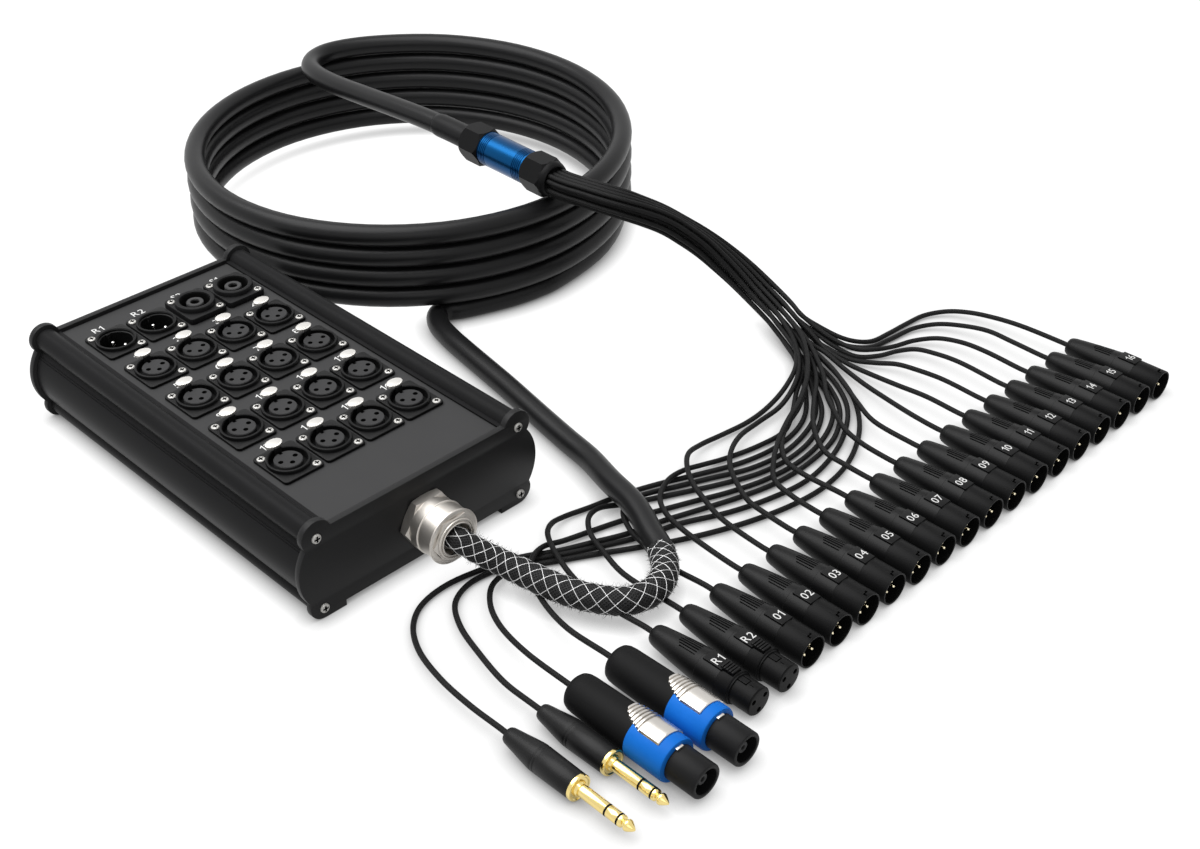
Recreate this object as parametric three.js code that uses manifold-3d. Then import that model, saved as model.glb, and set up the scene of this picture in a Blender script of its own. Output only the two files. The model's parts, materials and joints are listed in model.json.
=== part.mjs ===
import * as THREE from 'three';
import { mergeVertices } from 'three/addons/utils/BufferGeometryUtils.js';
import Module from 'manifold-3d';

const wasm = await Module();
wasm.setup();

// A stage box: a metal box of panel sockets, one thick multicore cable in a coil,
// a breakout and a loom of tails that end in line plugs.
// Millimetres, +Z up. The box stands on z = 0 with its middle over the origin,
// +X across the box and -Y towards its cable gland.

// Fits
const seatGap = 0.3;
const slideGap = 0.3;
const overrun = 1;
const weldTolerance = 1e-4;

// Box outline, as the end plates show it
const boxLength = 268.4;
const plateThick = 4;
const plateProud = 2.5;
const plateTop = 56.8;
const earX = 68.6;
const earZ = 53.6;
const earRadius = 9.5;
const heelX = 69.15;
const heelZ = 8.5;
const heelRadius = 8.4;
const bulgeX = 51.9;
const bulgeZ = 29.7;
const bulgeRadius = 30.3;
const bulgeFrom = 61;
const footFrom = 55;
const footTo = 69;
const footHeight = 3.5;

// Extruded case inside that outline
const railTop = 55.5;
const floorThick = 2.2;
const sideWall = 9.7;
const cavityFrom = 8;
const cavityTo = 46;
const ledgeHalf = 57;
const lipHalf = 59.2;

// Top panel, slid in under the lips of the rails
const panelHalf = 60.7;
const panelThick = 2.5;
const panelUnderside = 51.7;
const panelTop = panelUnderside + panelThick;

// Socket pattern on the panel
const columnPitch = 27.78;
const rearMargin = 38;
const frontMargin = 60;
const columns = [-1.5, -0.5, 0.5, 1.5];
const rearRow = 0;
const femaleRows = [1, 2, 3, 4];

// Three-pin panel sockets
const flangeWidth = 26;
const flangeLength = 31;
const flangeThick = 1.5;
const flangeCorner = 2.5;
const flangeTop = panelTop + seatGap + flangeThick;
const socketRadius = 12;
const ringHeight = 2;
const ringInner = 10.6;
const insertRadius = 7.9;
const insertStep = 0.6;
const grooveDepth = 5;
const socketDepth = 20;
const holeClearance = 0.6;
const busDepth = 2;
const busHalfWidth = 3;
const cupDepth = 12;
const pinRadius = 1.2;
const pinCircle = 4.8;
const pinBelowRim = 4.8;

// Speaker panel sockets
const speakerFlangeThick = 4.2;
const speakerRingHeight = 2.6;
const speakerRingInner = 9.3;
const speakerBossRadius = 5.1;
const speakerBossBore = 2.2;
const speakerBossBelowRim = 1.6;
const speakerChannelDepth = 9;

// Push tab of a female socket
const tabWidth = 10.5;
const tabLength = 7.2;
const tabThick = 1.7;
const tabSides = 6;
const tabTravel = 1.5;
const tabStemWidth = 4;
const tabStemThick = 1.2;
const tabTilt = 0.9;
const tabFrom = 9;

// Cable gland
const glandZ = 28.5;
const glandBaseCorner = 17.5;
const glandBaseLength = 6;
const glandBodyRadius = 14.5;
const glandBodyLength = 8;
const glandShankRadius = 10;
const glandShankLength = 7.5;
const glandRingRadius = 16.3;
const glandRingLength = 4.2;
const glandCapCorner = 15;
const glandCapLength = 7.5;
const glandRecess = 8;
const locknutCorner = 14.5;
const locknutLength = 4;

// Multicore cable and its sock
const multicoreRadius = 7.2;
const sockRadius = 7.8;
const glandBore = sockRadius + 1.4;
const multicoreSides = 10;

// Coil: one helix standing on the floor
const coilX = 249;
const coilY = 174;
const coilRadius = 152;
const coilPitch = 15;
const coilStartDegrees = 270;
const coilEndDegrees = 62;
const coilFullTurns = 4;
const climbShare = 0.85;
const coilSides = 6;
const coilStepsPerLoop = 24;

// Breakout, its axis along Y above the front of the coil
const breakoutX = 242;
const breakoutZ = 88;
const breakoutRear = 105;
const hexSides = 6;
const hexCorner = 15;
const hexFlatShare = Math.cos(Math.PI / hexSides);
const innerNutLength = 18;
const barrelRadius = 12;
const barrelLength = 42;
const barrelRimRadius = 12.6;
const barrelRimLength = 6;
const outerNutLength = 27;
const domeLength = 4;
const domeRadius = 10.4;

// Bundle of tails out of the breakout
const bundleRadius = 9.4;
const bundleSides = 10;

// Tails
const tailRadius = 1.6;
const tailSides = 8;
const tailPitch = 3.6;
const rowRiseShare = Math.sqrt(3) / 2;
const tailStraight = 7;

// Line plugs lie in a row along X and point to -Y
const sendPitch = 22.69;
const sendFirstX = 81.8;
const sendCount = 16;
const plugRearY = -271;
const plugSides = 8;
const bootRearRadius = 5.2;
const plugRadius = 9.5;
const bootLength = 33;
const sendPlugLength = 66;
const padLength = 13;
const padWidth = 7;
const padRise = 0.35;
const plugCupRadius = 8.3;
const plugCupDepth = 16;
const plugPinRecess = 5;
const pinSides = 5;
const pinTurnDegrees = [90, 210, 330];
const returnShellLength = 57;
const returnNoseRadius = 8;
const returnPlugLength = 70;
const returnPlugs = { r1: 35.8, r2: 58.5 };
const contactRadius = 1.5;
const contactDepth = 8;
const buttonWidth = 6;
const buttonLength = 8;
const buttonFrom = 47;
const buttonDepth = 3;
const buttonProud = 1.4;
const buttonTravel = 1.2;

// Speaker plugs
const speakerPlugs = { speaker_1: -22.3, speaker_2: 5.9 };
const speakerRearY = -273;
const sleeveRearRadius = 10.6;
const sleeveRadius = 11.3;
const sleeveLength = 44;
const collarRadius = 11.7;
const collarLength = 24;
const noseRadius = 9.3;
const noseLength = 18;
const noseBore = 7;
const noseDepth = 12;
const postRadius = 3;
const postRecess = 5;
const thumbWidth = 9;
const thumbLength = 26;
const thumbFrom = 35;
const thumbHeight = 3.2;
const thumbRibs = 5;
const ribDepth = 0.8;
const thumbTravel = 4;
const trackDrop = 1.4;

// Jack plugs
const jackPlugs = { jack_1: -63.2, jack_2: -41.2 };
const jackRearY = -269;
const jackRearRadius = 4;
const jackRadius = 7.3;
const jackTaper = 19;
const jackBarrel = 28;
const jackCollarRadius = 6.5;
const jackCollarLength = 4;
const jackShaftRadius = 3.17;
const jackShaftLength = 24.5;
const jackNeckRadius = 2.3;
const jackNeckLength = 1.2;
const jackTipLength = 7;
const jackPointRadius = 0.6;

// Routes. The points are the middle of each cord.
const sockRoute = [
  [1, -165, 27.2], [5, -173, 22.5], [12, -195, 15.6], [21, -218, 13], [33, -235, 12.8], [51, -246, 13.2],
  [66, -246, 13.3], [81, -238, 13.2], [91, -225, 13.4], [98, -212, 13.8],
];
const leadRoute = [
  [107, -197, 14.4], [118, -180, 14.8], [132, -152, 12], [140, -128, 8.6], [146, -105, 7.2],
  [155, -64, 7.2], [160, -21, 7.2], [161, 5, 7.2], [163, 25, 7.2], [171, 41, 7.2],
  [185, 48, 7.2], [199, 44, 7.2], [210, 34, 7.2], [219, 26, 7.2], [228, 22, 7.2],
];
const endRoute = [
  [290, 319, 75], [272, 315, 75.6], [259, 303, 76.5], [251, 284, 78], [247, 258, 80],
  [245, 220, 83], [243, 180, 86], [242, 145, 88], [242, 118, 88],
];
const bundleRoute = [
  [242, 8, 88], [243.6, 1, 87.4], [247.4, -5, 85.4], [255.4, -13, 80.5], [267.2, -19.5, 73.5],
  [278.7, -26.2, 66], [290.7, -33.3, 58.5], [300.5, -42.5, 50.5], [309.7, -52.5, 42],
  [315.8, -65.3, 34], [319.3, -80.5, 26.5], [319.4, -98.4, 20], [316.6, -118.4, 14],
];
const bundleEnd = [313, -129, 12];
const bundleHeading = [-0.32, -0.93, -0.19];

// Each tail starts in the end of the bundle at a place [across, up] in tail pitches.
const tailRoutes = {
  jack_1: {
    start: [-0.5, -2],
    points: [
      [301, -148, 2.6], [294, -165, 2], [285, -186, 2], [269, -207, 2], [244, -222.5, 2],
      [213, -228, 2], [185, -227, 2], [160, -221, 2], [136, -213, 2], [113, -205, 2],
      [91, -199, 2], [70, -190, 2], [52, -182, 2], [35, -172, 2], [14, -165, 2], [-10, -161, 2],
      [-29, -164, 2], [-42, -173, 2], [-52, -189, 2], [-58, -213, 2], [-62, -240, 4],
    ],
  },
  jack_2: {
    start: [0.5, -2],
    points: [
      [307, -147, 2.6], [300, -165, 2], [291, -186, 2], [275, -208, 2], [252, -224, 2],
      [226, -234, 2], [198, -238, 2], [171, -234, 2], [145, -226, 2], [117, -213, 2],
      [94, -206, 2], [72, -196, 2], [54, -187, 2], [36, -177, 2], [16, -170, 2], [-1, -169, 2],
      [-15, -175, 2], [-25, -190, 2], [-32, -213, 2], [-38, -240, 4],
    ],
  },
  speaker_1: {
    start: [1.5, -2],
    points: [
      [312, -148, 2.6], [306, -165, 2], [297, -186, 2], [283, -208, 2], [260, -229, 2],
      [230, -244, 2], [201, -249, 2], [176, -247, 2], [148, -240, 2], [124, -231, 2],
      [101, -220, 2], [82, -209, 2], [62, -197, 2], [46, -188, 2], [32, -180, 2], [20, -177, 3],
      [8, -179, 3], [-3, -189, 3], [-11, -205, 3], [-17, -232, 6],
    ],
  },
  speaker_2: {
    start: [-1.5, -2],
    points: [
      [297, -147, 2.6], [290, -164, 2], [281, -185, 2], [265, -205, 2], [240, -218, 2],
      [212, -223, 2], [185, -221, 2], [160, -214, 2], [138, -205, 2], [118, -197, 2],
      [98, -189, 2], [78, -183, 2], [60, -179, 3], [47, -177, 5.4], [35, -181, 6.5], [25, -191, 5],
      [18, -207, 2.5], [12, -232, 3], [8, -252, 7],
    ],
  },
  return_r1: {
    start: [-2, -1],
    points: [
      [295, -147, 5.6], [283, -165, 2.2], [268, -181, 2], [250, -195, 2], [232, -202, 2],
      [210, -204, 2], [186, -200, 2], [160, -190, 2], [137, -180, 2], [114, -172, 2],
      [92, -167, 2], [76, -164, 3], [64, -166, 6], [54, -173, 8.6], [47, -185, 8], [42, -203, 4.5],
      [39, -225, 2], [37, -246, 2.6],
    ],
  },
  return_r2: {
    start: [-1, -1],
    points: [
      [299, -147, 6.2], [287, -165, 4], [275, -184, 2], [259, -201, 2], [236, -213, 2],
      [210, -217, 2], [185, -214, 2], [161, -205, 2], [140, -195, 2], [122, -186, 2],
      [106, -178, 2.5], [93, -174, 5], [82, -177, 6.5], [73, -187, 6], [67, -204, 5],
      [64, -222, 2.5], [61, -250, 2.8],
    ],
  },
  send_01: {
    start: [-1.5, 0],
    points: [
      [298, -147, 9.6], [285, -165, 6.6], [271, -184, 4.5], [255, -199, 2], [232, -208, 2],
      [208, -211, 2], [184, -207, 2], [161, -197, 2], [140, -188, 2], [124, -183, 3.6],
      [110, -182, 6], [99, -187, 6.5], [91, -200, 5.6], [87.5, -214, 5], [85, -228, 2.5],
      [83, -249, 4.5],
    ],
  },
  send_02: {
    start: [-2, 1],
    points: [
      [294, -146, 10], [280, -163, 6.4], [262, -178, 4.8], [245, -189, 3], [228, -197, 2],
      [206, -196, 2], [181, -190, 2], [165, -186, 3.6], [153, -184, 5.4], [141, -184, 6],
      [130, -188, 6], [121, -195, 6], [115, -206, 5.5], [112, -222, 5.5], [111, -245, 6.5],
    ],
  },
  send_03: {
    start: [-1.5, 2],
    points: [
      [295, -143, 13.5], [279, -157, 9], [259, -168, 6], [239, -175, 4], [219, -176, 3],
      [199, -174, 3], [180, -173, 4.5], [164, -177, 8], [152, -187, 9.4], [144, -199, 8],
      [139, -212, 7], [135, -230, 7], [133, -248, 7.5],
    ],
  },
  send_04: {
    start: [-1, 1],
    points: [
      [298, -146, 12.5], [284, -162, 9.5], [265, -174, 7.6], [243, -181, 5.2], [221, -182, 4.5],
      [202, -184, 5], [186, -191, 5.6], [174, -201, 5.5], [165, -214, 5.5], [159, -230, 5.5],
      [156, -247, 7],
    ],
  },
  send_05: {
    start: [-0.5, 2],
    points: [
      [303, -147, 15.5], [291, -162, 13], [273, -177, 11], [251, -189, 9], [231, -197, 9],
      [213, -205, 8], [195, -216, 7], [184, -229, 6.5], [180, -245, 7],
    ],
  },
  send_06: {
    start: [-0.5, 0],
    points: [
      [301, -149, 12], [289, -164, 10.2], [271, -178, 7.8], [250, -190, 6], [228, -198, 5.5],
      [212, -208, 5.5], [202, -220, 5.5], [198, -234, 5.5], [199, -249, 6.5],
    ],
  },
  send_07: {
    start: [0, -1],
    points: [
      [304, -148, 8.8], [294, -164, 7.8], [280, -179, 7.2], [262, -192, 6], [245, -205, 5.5],
      [233, -218, 5.5], [226, -232, 5.5], [224, -247, 6], [220, -261, 8.5],
    ],
  },
  send_08: {
    start: [0, 1],
    points: [
      [307, -147, 12.4], [298, -163, 10], [287, -179, 7], [273, -193, 5.5], [261, -209, 5.5],
      [253, -225, 5.5], [250, -241, 6], [245, -258, 8.5],
    ],
  },
  send_09: {
    start: [0.5, 0],
    points: [
      [308, -146, 8], [304, -162, 6], [298, -178, 5.8], [289, -195, 5.6], [280, -211, 5.6],
      [273, -231, 5], [268, -253, 7],
    ],
  },
  send_10: {
    start: [1, -1],
    points: [
      [312, -147, 6], [310, -162, 5.6], [307, -180, 3], [303, -200, 2], [300, -220, 2],
      [296, -244, 5], [289, -261, 8],
    ],
  },
  send_11: {
    start: [0.5, 2],
    points: [
      [315, -146, 11], [313, -160, 6], [313, -178, 3], [315, -196, 2], [317, -216, 2],
      [317, -238, 5], [312, -258, 8],
    ],
  },
  send_12: {
    start: [1.5, 0],
    points: [
      [316, -146, 7], [317, -160, 4], [320, -177, 2], [328, -190, 2], [336, -200, 2],
      [340, -214, 2], [341, -233, 4], [337, -254, 8],
    ],
  },
  send_13: {
    start: [1, 1],
    points: [
      [320, -146, 8.8], [321, -160, 5], [325, -176, 2], [336, -186, 2], [349, -191, 2],
      [359, -198, 2], [364, -210, 2], [365, -228, 4], [360, -251, 8],
    ],
  },
  send_14: {
    start: [1.5, 2],
    points: [
      [321, -146, 12], [323, -160, 8], [327, -174, 5.8], [336, -183, 5.6], [351, -187, 3],
      [367, -191, 2], [380, -200, 2], [387, -214, 2], [388, -233, 4], [382, -255, 8],
    ],
  },
  send_15: {
    start: [2, -1],
    points: [
      [323, -145, 6], [328, -158, 3], [333, -168, 2], [341, -176, 2], [358, -179, 2],
      [380, -182, 2], [395, -190, 2], [405, -203, 2], [410, -219, 3], [410, -238, 4],
      [404, -258, 8],
    ],
  },
  send_16: {
    start: [2, 1],
    points: [
      [326, -146, 10], [331, -159, 6], [337, -167, 4], [347, -172, 2], [363, -174, 2],
      [381, -175, 2], [398, -177, 2], [413, -185, 2], [422, -196, 2], [428, -211, 2],
      [430, -230, 3], [428, -251, 6],
    ],
  },
};

// Materials
const finish = (color, roughness, metalness) =>
  new THREE.MeshStandardMaterial({ color, roughness, metalness, flatShading: true });
const satinBlack = finish(0x1b1b1d, 0.45, 0.2);
const plateBlack = finish(0x202022, 0.6, 0.1);
const socketBlack = finish(0x141415, 0.5, 0.1);
const plugBlack = finish(0x131314, 0.4, 0.1);
const sleeveBlack = finish(0x1a1a1b, 0.75, 0);
const jacketBlack = finish(0x161617, 0.55, 0);
const tailBlack = finish(0x101011, 0.7, 0);
const meshGrey = finish(0x4b4b4d, 0.6, 0.3);
const nickel = finish(0xb9b1a6, 0.25, 1);
const silver = finish(0xd8d6d1, 0.3, 1);
const anodisedBlue = finish(0x1f5fbf, 0.35, 0.6);
const gold = finish(0xd9ab3c, 0.25, 1);

const group = new THREE.Group();

/** Adds one named piece to the model. */
function node(name, geometry, material, position = [0, 0, 0]) {
  const mesh = new THREE.Mesh(geometry, material);
  mesh.name = name;
  mesh.position.set(...position);
  group.add(mesh);
}

/** A closed mesh as a solid: seams welded, slivers dropped, faces turned outward. */
function solid(geometry) {
  const bare = geometry.clone();
  bare.deleteAttribute('normal');
  bare.deleteAttribute('uv');
  const merged = mergeVertices(bare, weldTolerance);
  const corners = [];
  for (let i = 0; i < merged.index.count; i += 3) {
    const [a, b, c] = [0, 1, 2].map((k) => merged.index.getX(i + k));
    if (a !== b && b !== c && c !== a) {
      corners.push(a, b, c);
    }
  }
  const vertProperties = new Float32Array(merged.attributes.position.array);
  const build = (triVerts) =>
    new wasm.Manifold(new wasm.Mesh({ numProp: 3, vertProperties, triVerts: new Uint32Array(triVerts) }));
  const made = build(corners);
  return made.volume() < 0 ? build(corners.reverse()) : made;
}

/** The triangles of a solid as a geometry. */
function geometryOf(made) {
  const mesh = made.getMesh();
  const geometry = new THREE.BufferGeometry();
  geometry.setAttribute('position', new THREE.BufferAttribute(mesh.vertProperties, 3));
  geometry.setIndex(new THREE.BufferAttribute(mesh.triVerts, 1));
  geometry.computeVertexNormals();
  return geometry;
}

const join = (...pieces) => geometryOf(pieces.map(solid).reduce((sum, piece) => sum.add(piece)));
const cut = (body, ...tools) =>
  geometryOf(tools.map(solid).reduce((rest, tool) => rest.subtract(tool), solid(body)));

/** A block between two corners. */
function block([x0, y0, z0], [x1, y1, z1]) {
  const geometry = new THREE.BoxGeometry(x1 - x0, y1 - y0, z1 - z0);
  return geometry.translate((x0 + x1) / 2, (y0 + y1) / 2, (z0 + z1) / 2);
}

/** A block with its middle on x = 0. */
const wideBlock = (half, y0, y1, z0, z1) => block([-half, y0, z0], [half, y1, z1]);

/** A turned piece about Y: profile points are [radius, distance along +Y]. */
function turned(profile, sides, phase = 0) {
  const points = profile.map(([radius, along]) => new THREE.Vector2(radius, along));
  return new THREE.LatheGeometry(points, sides, phase);
}

/** The same standing on end, along +Z. */
const turnedUp = (profile, sides, phase) => turned(profile, sides, phase).rotateX(Math.PI / 2);

/** The same lying down, along -Y from the origin. */
const turnedForward = (profile, sides, phase) => turned(profile, sides, phase).rotateX(Math.PI);

/** The profile of a plain rod between two places along its axis. */
const rod = (radius, from, to) => [[0, from], [radius, from], [radius, to], [0, to]];

/** A regular polygon, for the section of a tube. */
function polygon(radius, sides) {
  const corners = [];
  for (let i = 0; i < sides; i += 1) {
    const angle = (2 * Math.PI * i) / sides;
    corners.push(new THREE.Vector2(radius * Math.cos(angle), radius * Math.sin(angle)));
  }
  return new THREE.Shape(corners);
}

/** A curve whose steps stand at the points it was drawn through, close together in its bends. */
class RouteCurve extends THREE.CatmullRomCurve3 {
  getPointAt(u) {
    return this.getPoint(u);
  }

  getTangentAt(u) {
    return this.getTangent(u);
  }
}

/** A tube with a ring of corners at each point of its route. */
function tube(points, radius, sides) {
  const extrudePath = new RouteCurve(points.map((point) => new THREE.Vector3(...point)));
  const steps = points.length - 1;
  return new THREE.ExtrudeGeometry(polygon(radius, sides), { steps, extrudePath });
}

/** An outline in Y and Z, pulled across X to both sides of the middle. */
function crossProfile(points, width) {
  const shape = new THREE.Shape(points.map(([y, z]) => new THREE.Vector2(y, z)));
  const geometry = new THREE.ExtrudeGeometry(shape, { depth: width, bevelEnabled: false });
  return geometry.translate(0, 0, -width / 2).rotateX(Math.PI / 2).rotateZ(Math.PI / 2);
}

// Box
const cornerSides = 12;
const bulgeSides = 36;
const plateFace = boxLength / 2;
const caseEnd = plateFace - plateThick - seatGap;

/** The outline of the box drawn in by an inset, pulled from y0 to y1. */
function boxBody(inset, top, y0, y1) {
  const length = y1 - y0;
  const pieces = [wideBlock(heelX, y0, y1, footHeight, top)];
  for (const side of [-1, 1]) {
    const bar = (x, z, radius, sides) =>
      turned(rod(radius - inset, 0, length), sides).translate(side * x, y0, z);
    const beyond = side * (bulgeX + bulgeRadius + overrun);
    const within = side * bulgeFrom;
    const clip = block(
      [Math.min(within, beyond), y0 - overrun, bulgeZ - bulgeRadius - overrun],
      [Math.max(within, beyond), y1 + overrun, bulgeZ + bulgeRadius + overrun],
    );
    pieces.push(bar(earX, earZ, earRadius, cornerSides), bar(heelX, heelZ, heelRadius, cornerSides));
    pieces.push(geometryOf(solid(bar(bulgeX, bulgeZ, bulgeRadius, bulgeSides)).intersect(solid(clip))));
    const feet = [side * footFrom, side * footTo].sort((a, b) => a - b);
    pieces.push(block([feet[0], y0, 0], [feet[1], y1, heelZ]));
  }
  return join(...pieces);
}

function caseBody() {
  const past = caseEnd + overrun;
  const channel = (half, from, to) => wideBlock(half, -past, past, from, to);
  const cavityHalf = bulgeX + bulgeRadius - plateProud - sideWall;
  return cut(
    boxBody(plateProud, railTop, -caseEnd, caseEnd),
    channel(cavityHalf, cavityFrom, cavityTo),
    channel(ledgeHalf, footHeight + floorThick, railTop + overrun),
    channel(panelHalf + seatGap, panelUnderside - seatGap, panelTop + seatGap),
    channel(lipHalf, panelTop, railTop + overrun),
  );
}

const glandSides = 16;

function frontPlate() {
  const hole = turned(rod(glandShankRadius + seatGap, -overrun, plateThick + overrun), glandSides);
  return cut(boxBody(0, plateTop, 0, plateThick), hole.translate(0, 0, glandZ));
}

node('case_body', caseBody(), satinBlack);
node('front_end_plate', frontPlate(), satinBlack, [0, -plateFace, 0]);
node('rear_end_plate', boxBody(0, plateTop, 0, plateThick), satinBlack, [0, plateFace - plateThick, 0]);

// Panel and sockets
const socketSides = 8;
const socketBottom = panelUnderside - socketDepth;
const rearRowY = plateFace - rearMargin;
const rowPitch = (boxLength - rearMargin - frontMargin) / femaleRows.length;
const place = (column, row) => [column * columnPitch, rearRowY - row * rowPitch];
const sends = femaleRows.flatMap((row) => columns.map((column) => place(column, row)));
const returns = columns.slice(0, 2).map((column) => place(column, rearRow));
const speakers = columns.slice(2).map((column) => place(column, rearRow));

function topPanel() {
  const holes = [...sends, ...returns, ...speakers].map(([x, y]) => {
    const through = rod(socketRadius + holeClearance, panelUnderside - overrun, panelTop + overrun);
    return turnedUp(through, socketSides).translate(x, y, 0);
  });
  return cut(wideBlock(panelHalf, -caseEnd, caseEnd, panelUnderside, panelTop), ...holes);
}

/** The flange of a panel socket: a rectangle with its corners taken off, round the shell. */
function flange(thick) {
  const halfX = flangeWidth / 2;
  const halfY = flangeLength / 2;
  const outline = [];
  for (const [sideX, sideY] of [[1, 1], [-1, 1], [-1, -1], [1, -1]]) {
    const alongX = [sideX * (halfX - flangeCorner), sideY * halfY];
    const alongY = [sideX * halfX, sideY * (halfY - flangeCorner)];
    outline.push(...(sideX === sideY ? [alongY, alongX] : [alongX, alongY]));
  }
  const shape = new THREE.Shape(outline.map(([x, y]) => new THREE.Vector2(x, y)));
  shape.holes.push(polygon((socketRadius + ringInner) / 2, socketSides));
  const plate = new THREE.ExtrudeGeometry(shape, { depth: thick, bevelEnabled: false });
  return plate.translate(0, 0, panelTop + seatGap);
}

function femaleSocket() {
  const rim = flangeTop + ringHeight;
  const face = rim - insertStep;
  const groove = rim - grooveDepth;
  const body = turnedUp([
    [0, socketBottom], [socketRadius, socketBottom], [socketRadius, rim], [ringInner, rim],
    [ringInner, groove], [insertRadius, groove], [insertRadius, face], [0, face],
  ], socketSides);
  return join(body, flange(flangeThick));
}

/** Three pins round an axis, as one list of rods made by the given turning function. */
const threePins = (turn, from, to) =>
  pinTurnDegrees.map((degrees) => {
    const angle = THREE.MathUtils.degToRad(degrees);
    const pin = turn(rod(pinRadius, from, to), pinSides);
    return [pin, pinCircle * Math.cos(angle), pinCircle * Math.sin(angle)];
  });

function maleSocket() {
  const rim = flangeTop + ringHeight;
  const floor = rim - cupDepth;
  const body = turnedUp([
    [0, socketBottom], [socketRadius, socketBottom], [socketRadius, rim], [ringInner, rim],
    [ringInner, floor], [0, floor],
  ], socketSides);
  const pins = threePins(turnedUp, floor - overrun, rim - pinBelowRim)
    .map(([pin, x, y]) => pin.translate(x, y, 0));
  return join(body, flange(flangeThick), ...pins);
}

function speakerSocket() {
  const rim = panelTop + seatGap + speakerFlangeThick + speakerRingHeight;
  const channel = rim - speakerChannelDepth;
  const boss = rim - speakerBossBelowRim;
  const body = turnedUp([
    [0, socketBottom], [socketRadius, socketBottom], [socketRadius, rim], [speakerRingInner, rim],
    [speakerRingInner, channel], [speakerBossRadius, channel], [speakerBossRadius, boss],
    [speakerBossBore, boss], [speakerBossBore, channel], [0, channel],
  ], socketSides);
  return join(body, flange(speakerFlangeThick));
}

/** Sockets of one kind with the bus bars that tie them together below the panel. */
function socketBank(socket, places, spine) {
  const bodies = places.map(([x, y]) => socket.clone().translate(x, y, 0));
  const xs = places.map(([x]) => x);
  const ys = places.map(([, y]) => y);
  const bar = (x0, x1, y0, y1) => block(
    [x0 - busHalfWidth, y0 - busHalfWidth, socketBottom - busDepth],
    [x1 + busHalfWidth, y1 + busHalfWidth, socketBottom + overrun],
  );
  const rows = [...new Set(ys)].map((y) => bar(Math.min(...xs), Math.max(...xs), y, y));
  const spines = spine ? [bar(0, 0, Math.min(...ys), Math.max(...ys))] : [];
  return join(...bodies, ...rows, ...spines);
}

/** A push tab: a flat stem in the groove of its socket and a leaning oval plate on top. */
function pushTab() {
  const rim = flangeTop + ringHeight;
  const underside = rim + tabTravel + slideGap;
  const oval = new THREE.ExtrudeGeometry(polygon(1, tabSides), { depth: tabThick, bevelEnabled: false });
  oval.scale(tabWidth / 2, tabLength / 2, 1);
  oval.translate(0, tabLength / 2, 0);
  oval.rotateX(Math.atan2(tabTilt, tabLength));
  oval.translate(0, tabFrom, underside);
  const stemFrom = insertRadius + slideGap;
  const stemBottom = rim - grooveDepth + tabTravel + slideGap;
  const stemTop = underside + tabThick / 2;
  const stem = wideBlock(tabStemWidth / 2, stemFrom, stemFrom + tabStemThick, stemBottom, stemTop);
  return join(oval, stem);
}

node('top_panel', topPanel(), plateBlack);
node('send_sockets', socketBank(femaleSocket(), sends, true), socketBlack);
node('return_sockets', socketBank(maleSocket(), returns, false), socketBlack);
node('speaker_sockets', socketBank(speakerSocket(), speakers, false), socketBlack);

const twoDigits = (number) => String(number).padStart(2, '0');
const tab = pushTab();
sends.forEach(([x, y], i) => node(`send_latch_${twoDigits(i + 1)}`, tab, silver, [x, y, 0]));

// Gland, from the outer face of the front plate forward
const glandBodyEnd = seatGap + glandBaseLength + glandBodyLength;
const glandRingEnd = glandBodyEnd + seatGap + glandRingLength;
const glandMouth = glandRingEnd + glandCapLength;
const shankBack = -plateThick - glandShankLength;
const hexPhase = Math.PI / hexSides;

const glandBody = join(
  turnedForward(rod(glandShankRadius, shankBack, glandBaseLength), glandSides),
  turnedForward(rod(glandBaseCorner, seatGap, seatGap + glandBaseLength), hexSides),
  turnedForward(rod(glandBodyRadius, glandBaseLength, glandBodyEnd), glandSides),
);
const glandNut = cut(
  join(
    turnedForward(rod(glandRingRadius, glandBodyEnd + seatGap, glandRingEnd), glandSides),
    turnedForward(rod(glandCapCorner, glandRingEnd - overrun, glandMouth), hexSides, hexPhase),
  ),
  turnedForward(rod(glandBore, glandMouth - glandRecess, glandMouth + overrun), glandSides),
);
const locknutFace = -plateThick - seatGap;
const glandLocknut = cut(
  turnedForward(rod(locknutCorner, locknutFace - locknutLength, locknutFace), hexSides),
  turnedForward(
    rod(glandShankRadius + seatGap, locknutFace - locknutLength - overrun, locknutFace + overrun),
    glandSides,
  ),
);
const glandPlace = [0, -plateFace, glandZ];
node('gland_body', glandBody, nickel, glandPlace);
node('gland_nut', glandNut, nickel, glandPlace);
node('gland_locknut', glandLocknut, nickel, glandPlace);

// Multicore cable
const ahead = (points, distance) => {
  const [before, last] = points.slice(-2).map((point) => new THREE.Vector3(...point));
  return last.clone().addScaledVector(last.clone().sub(before).normalize(), distance).toArray();
};
const coilStraight = 2 * multicoreRadius;

const mouthY = -plateFace - glandMouth;
const fullSockRoute = [
  [0, mouthY + glandRecess - seatGap, glandZ], [0, mouthY, glandZ], ...sockRoute,
];
const fullLeadRoute = [
  ahead(fullSockRoute, seatGap),
  ahead(fullSockRoute, seatGap + multicoreRadius),
  ...leadRoute,
  [coilX - coilStraight - seatGap, coilY - coilRadius, multicoreRadius],
];

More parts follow.
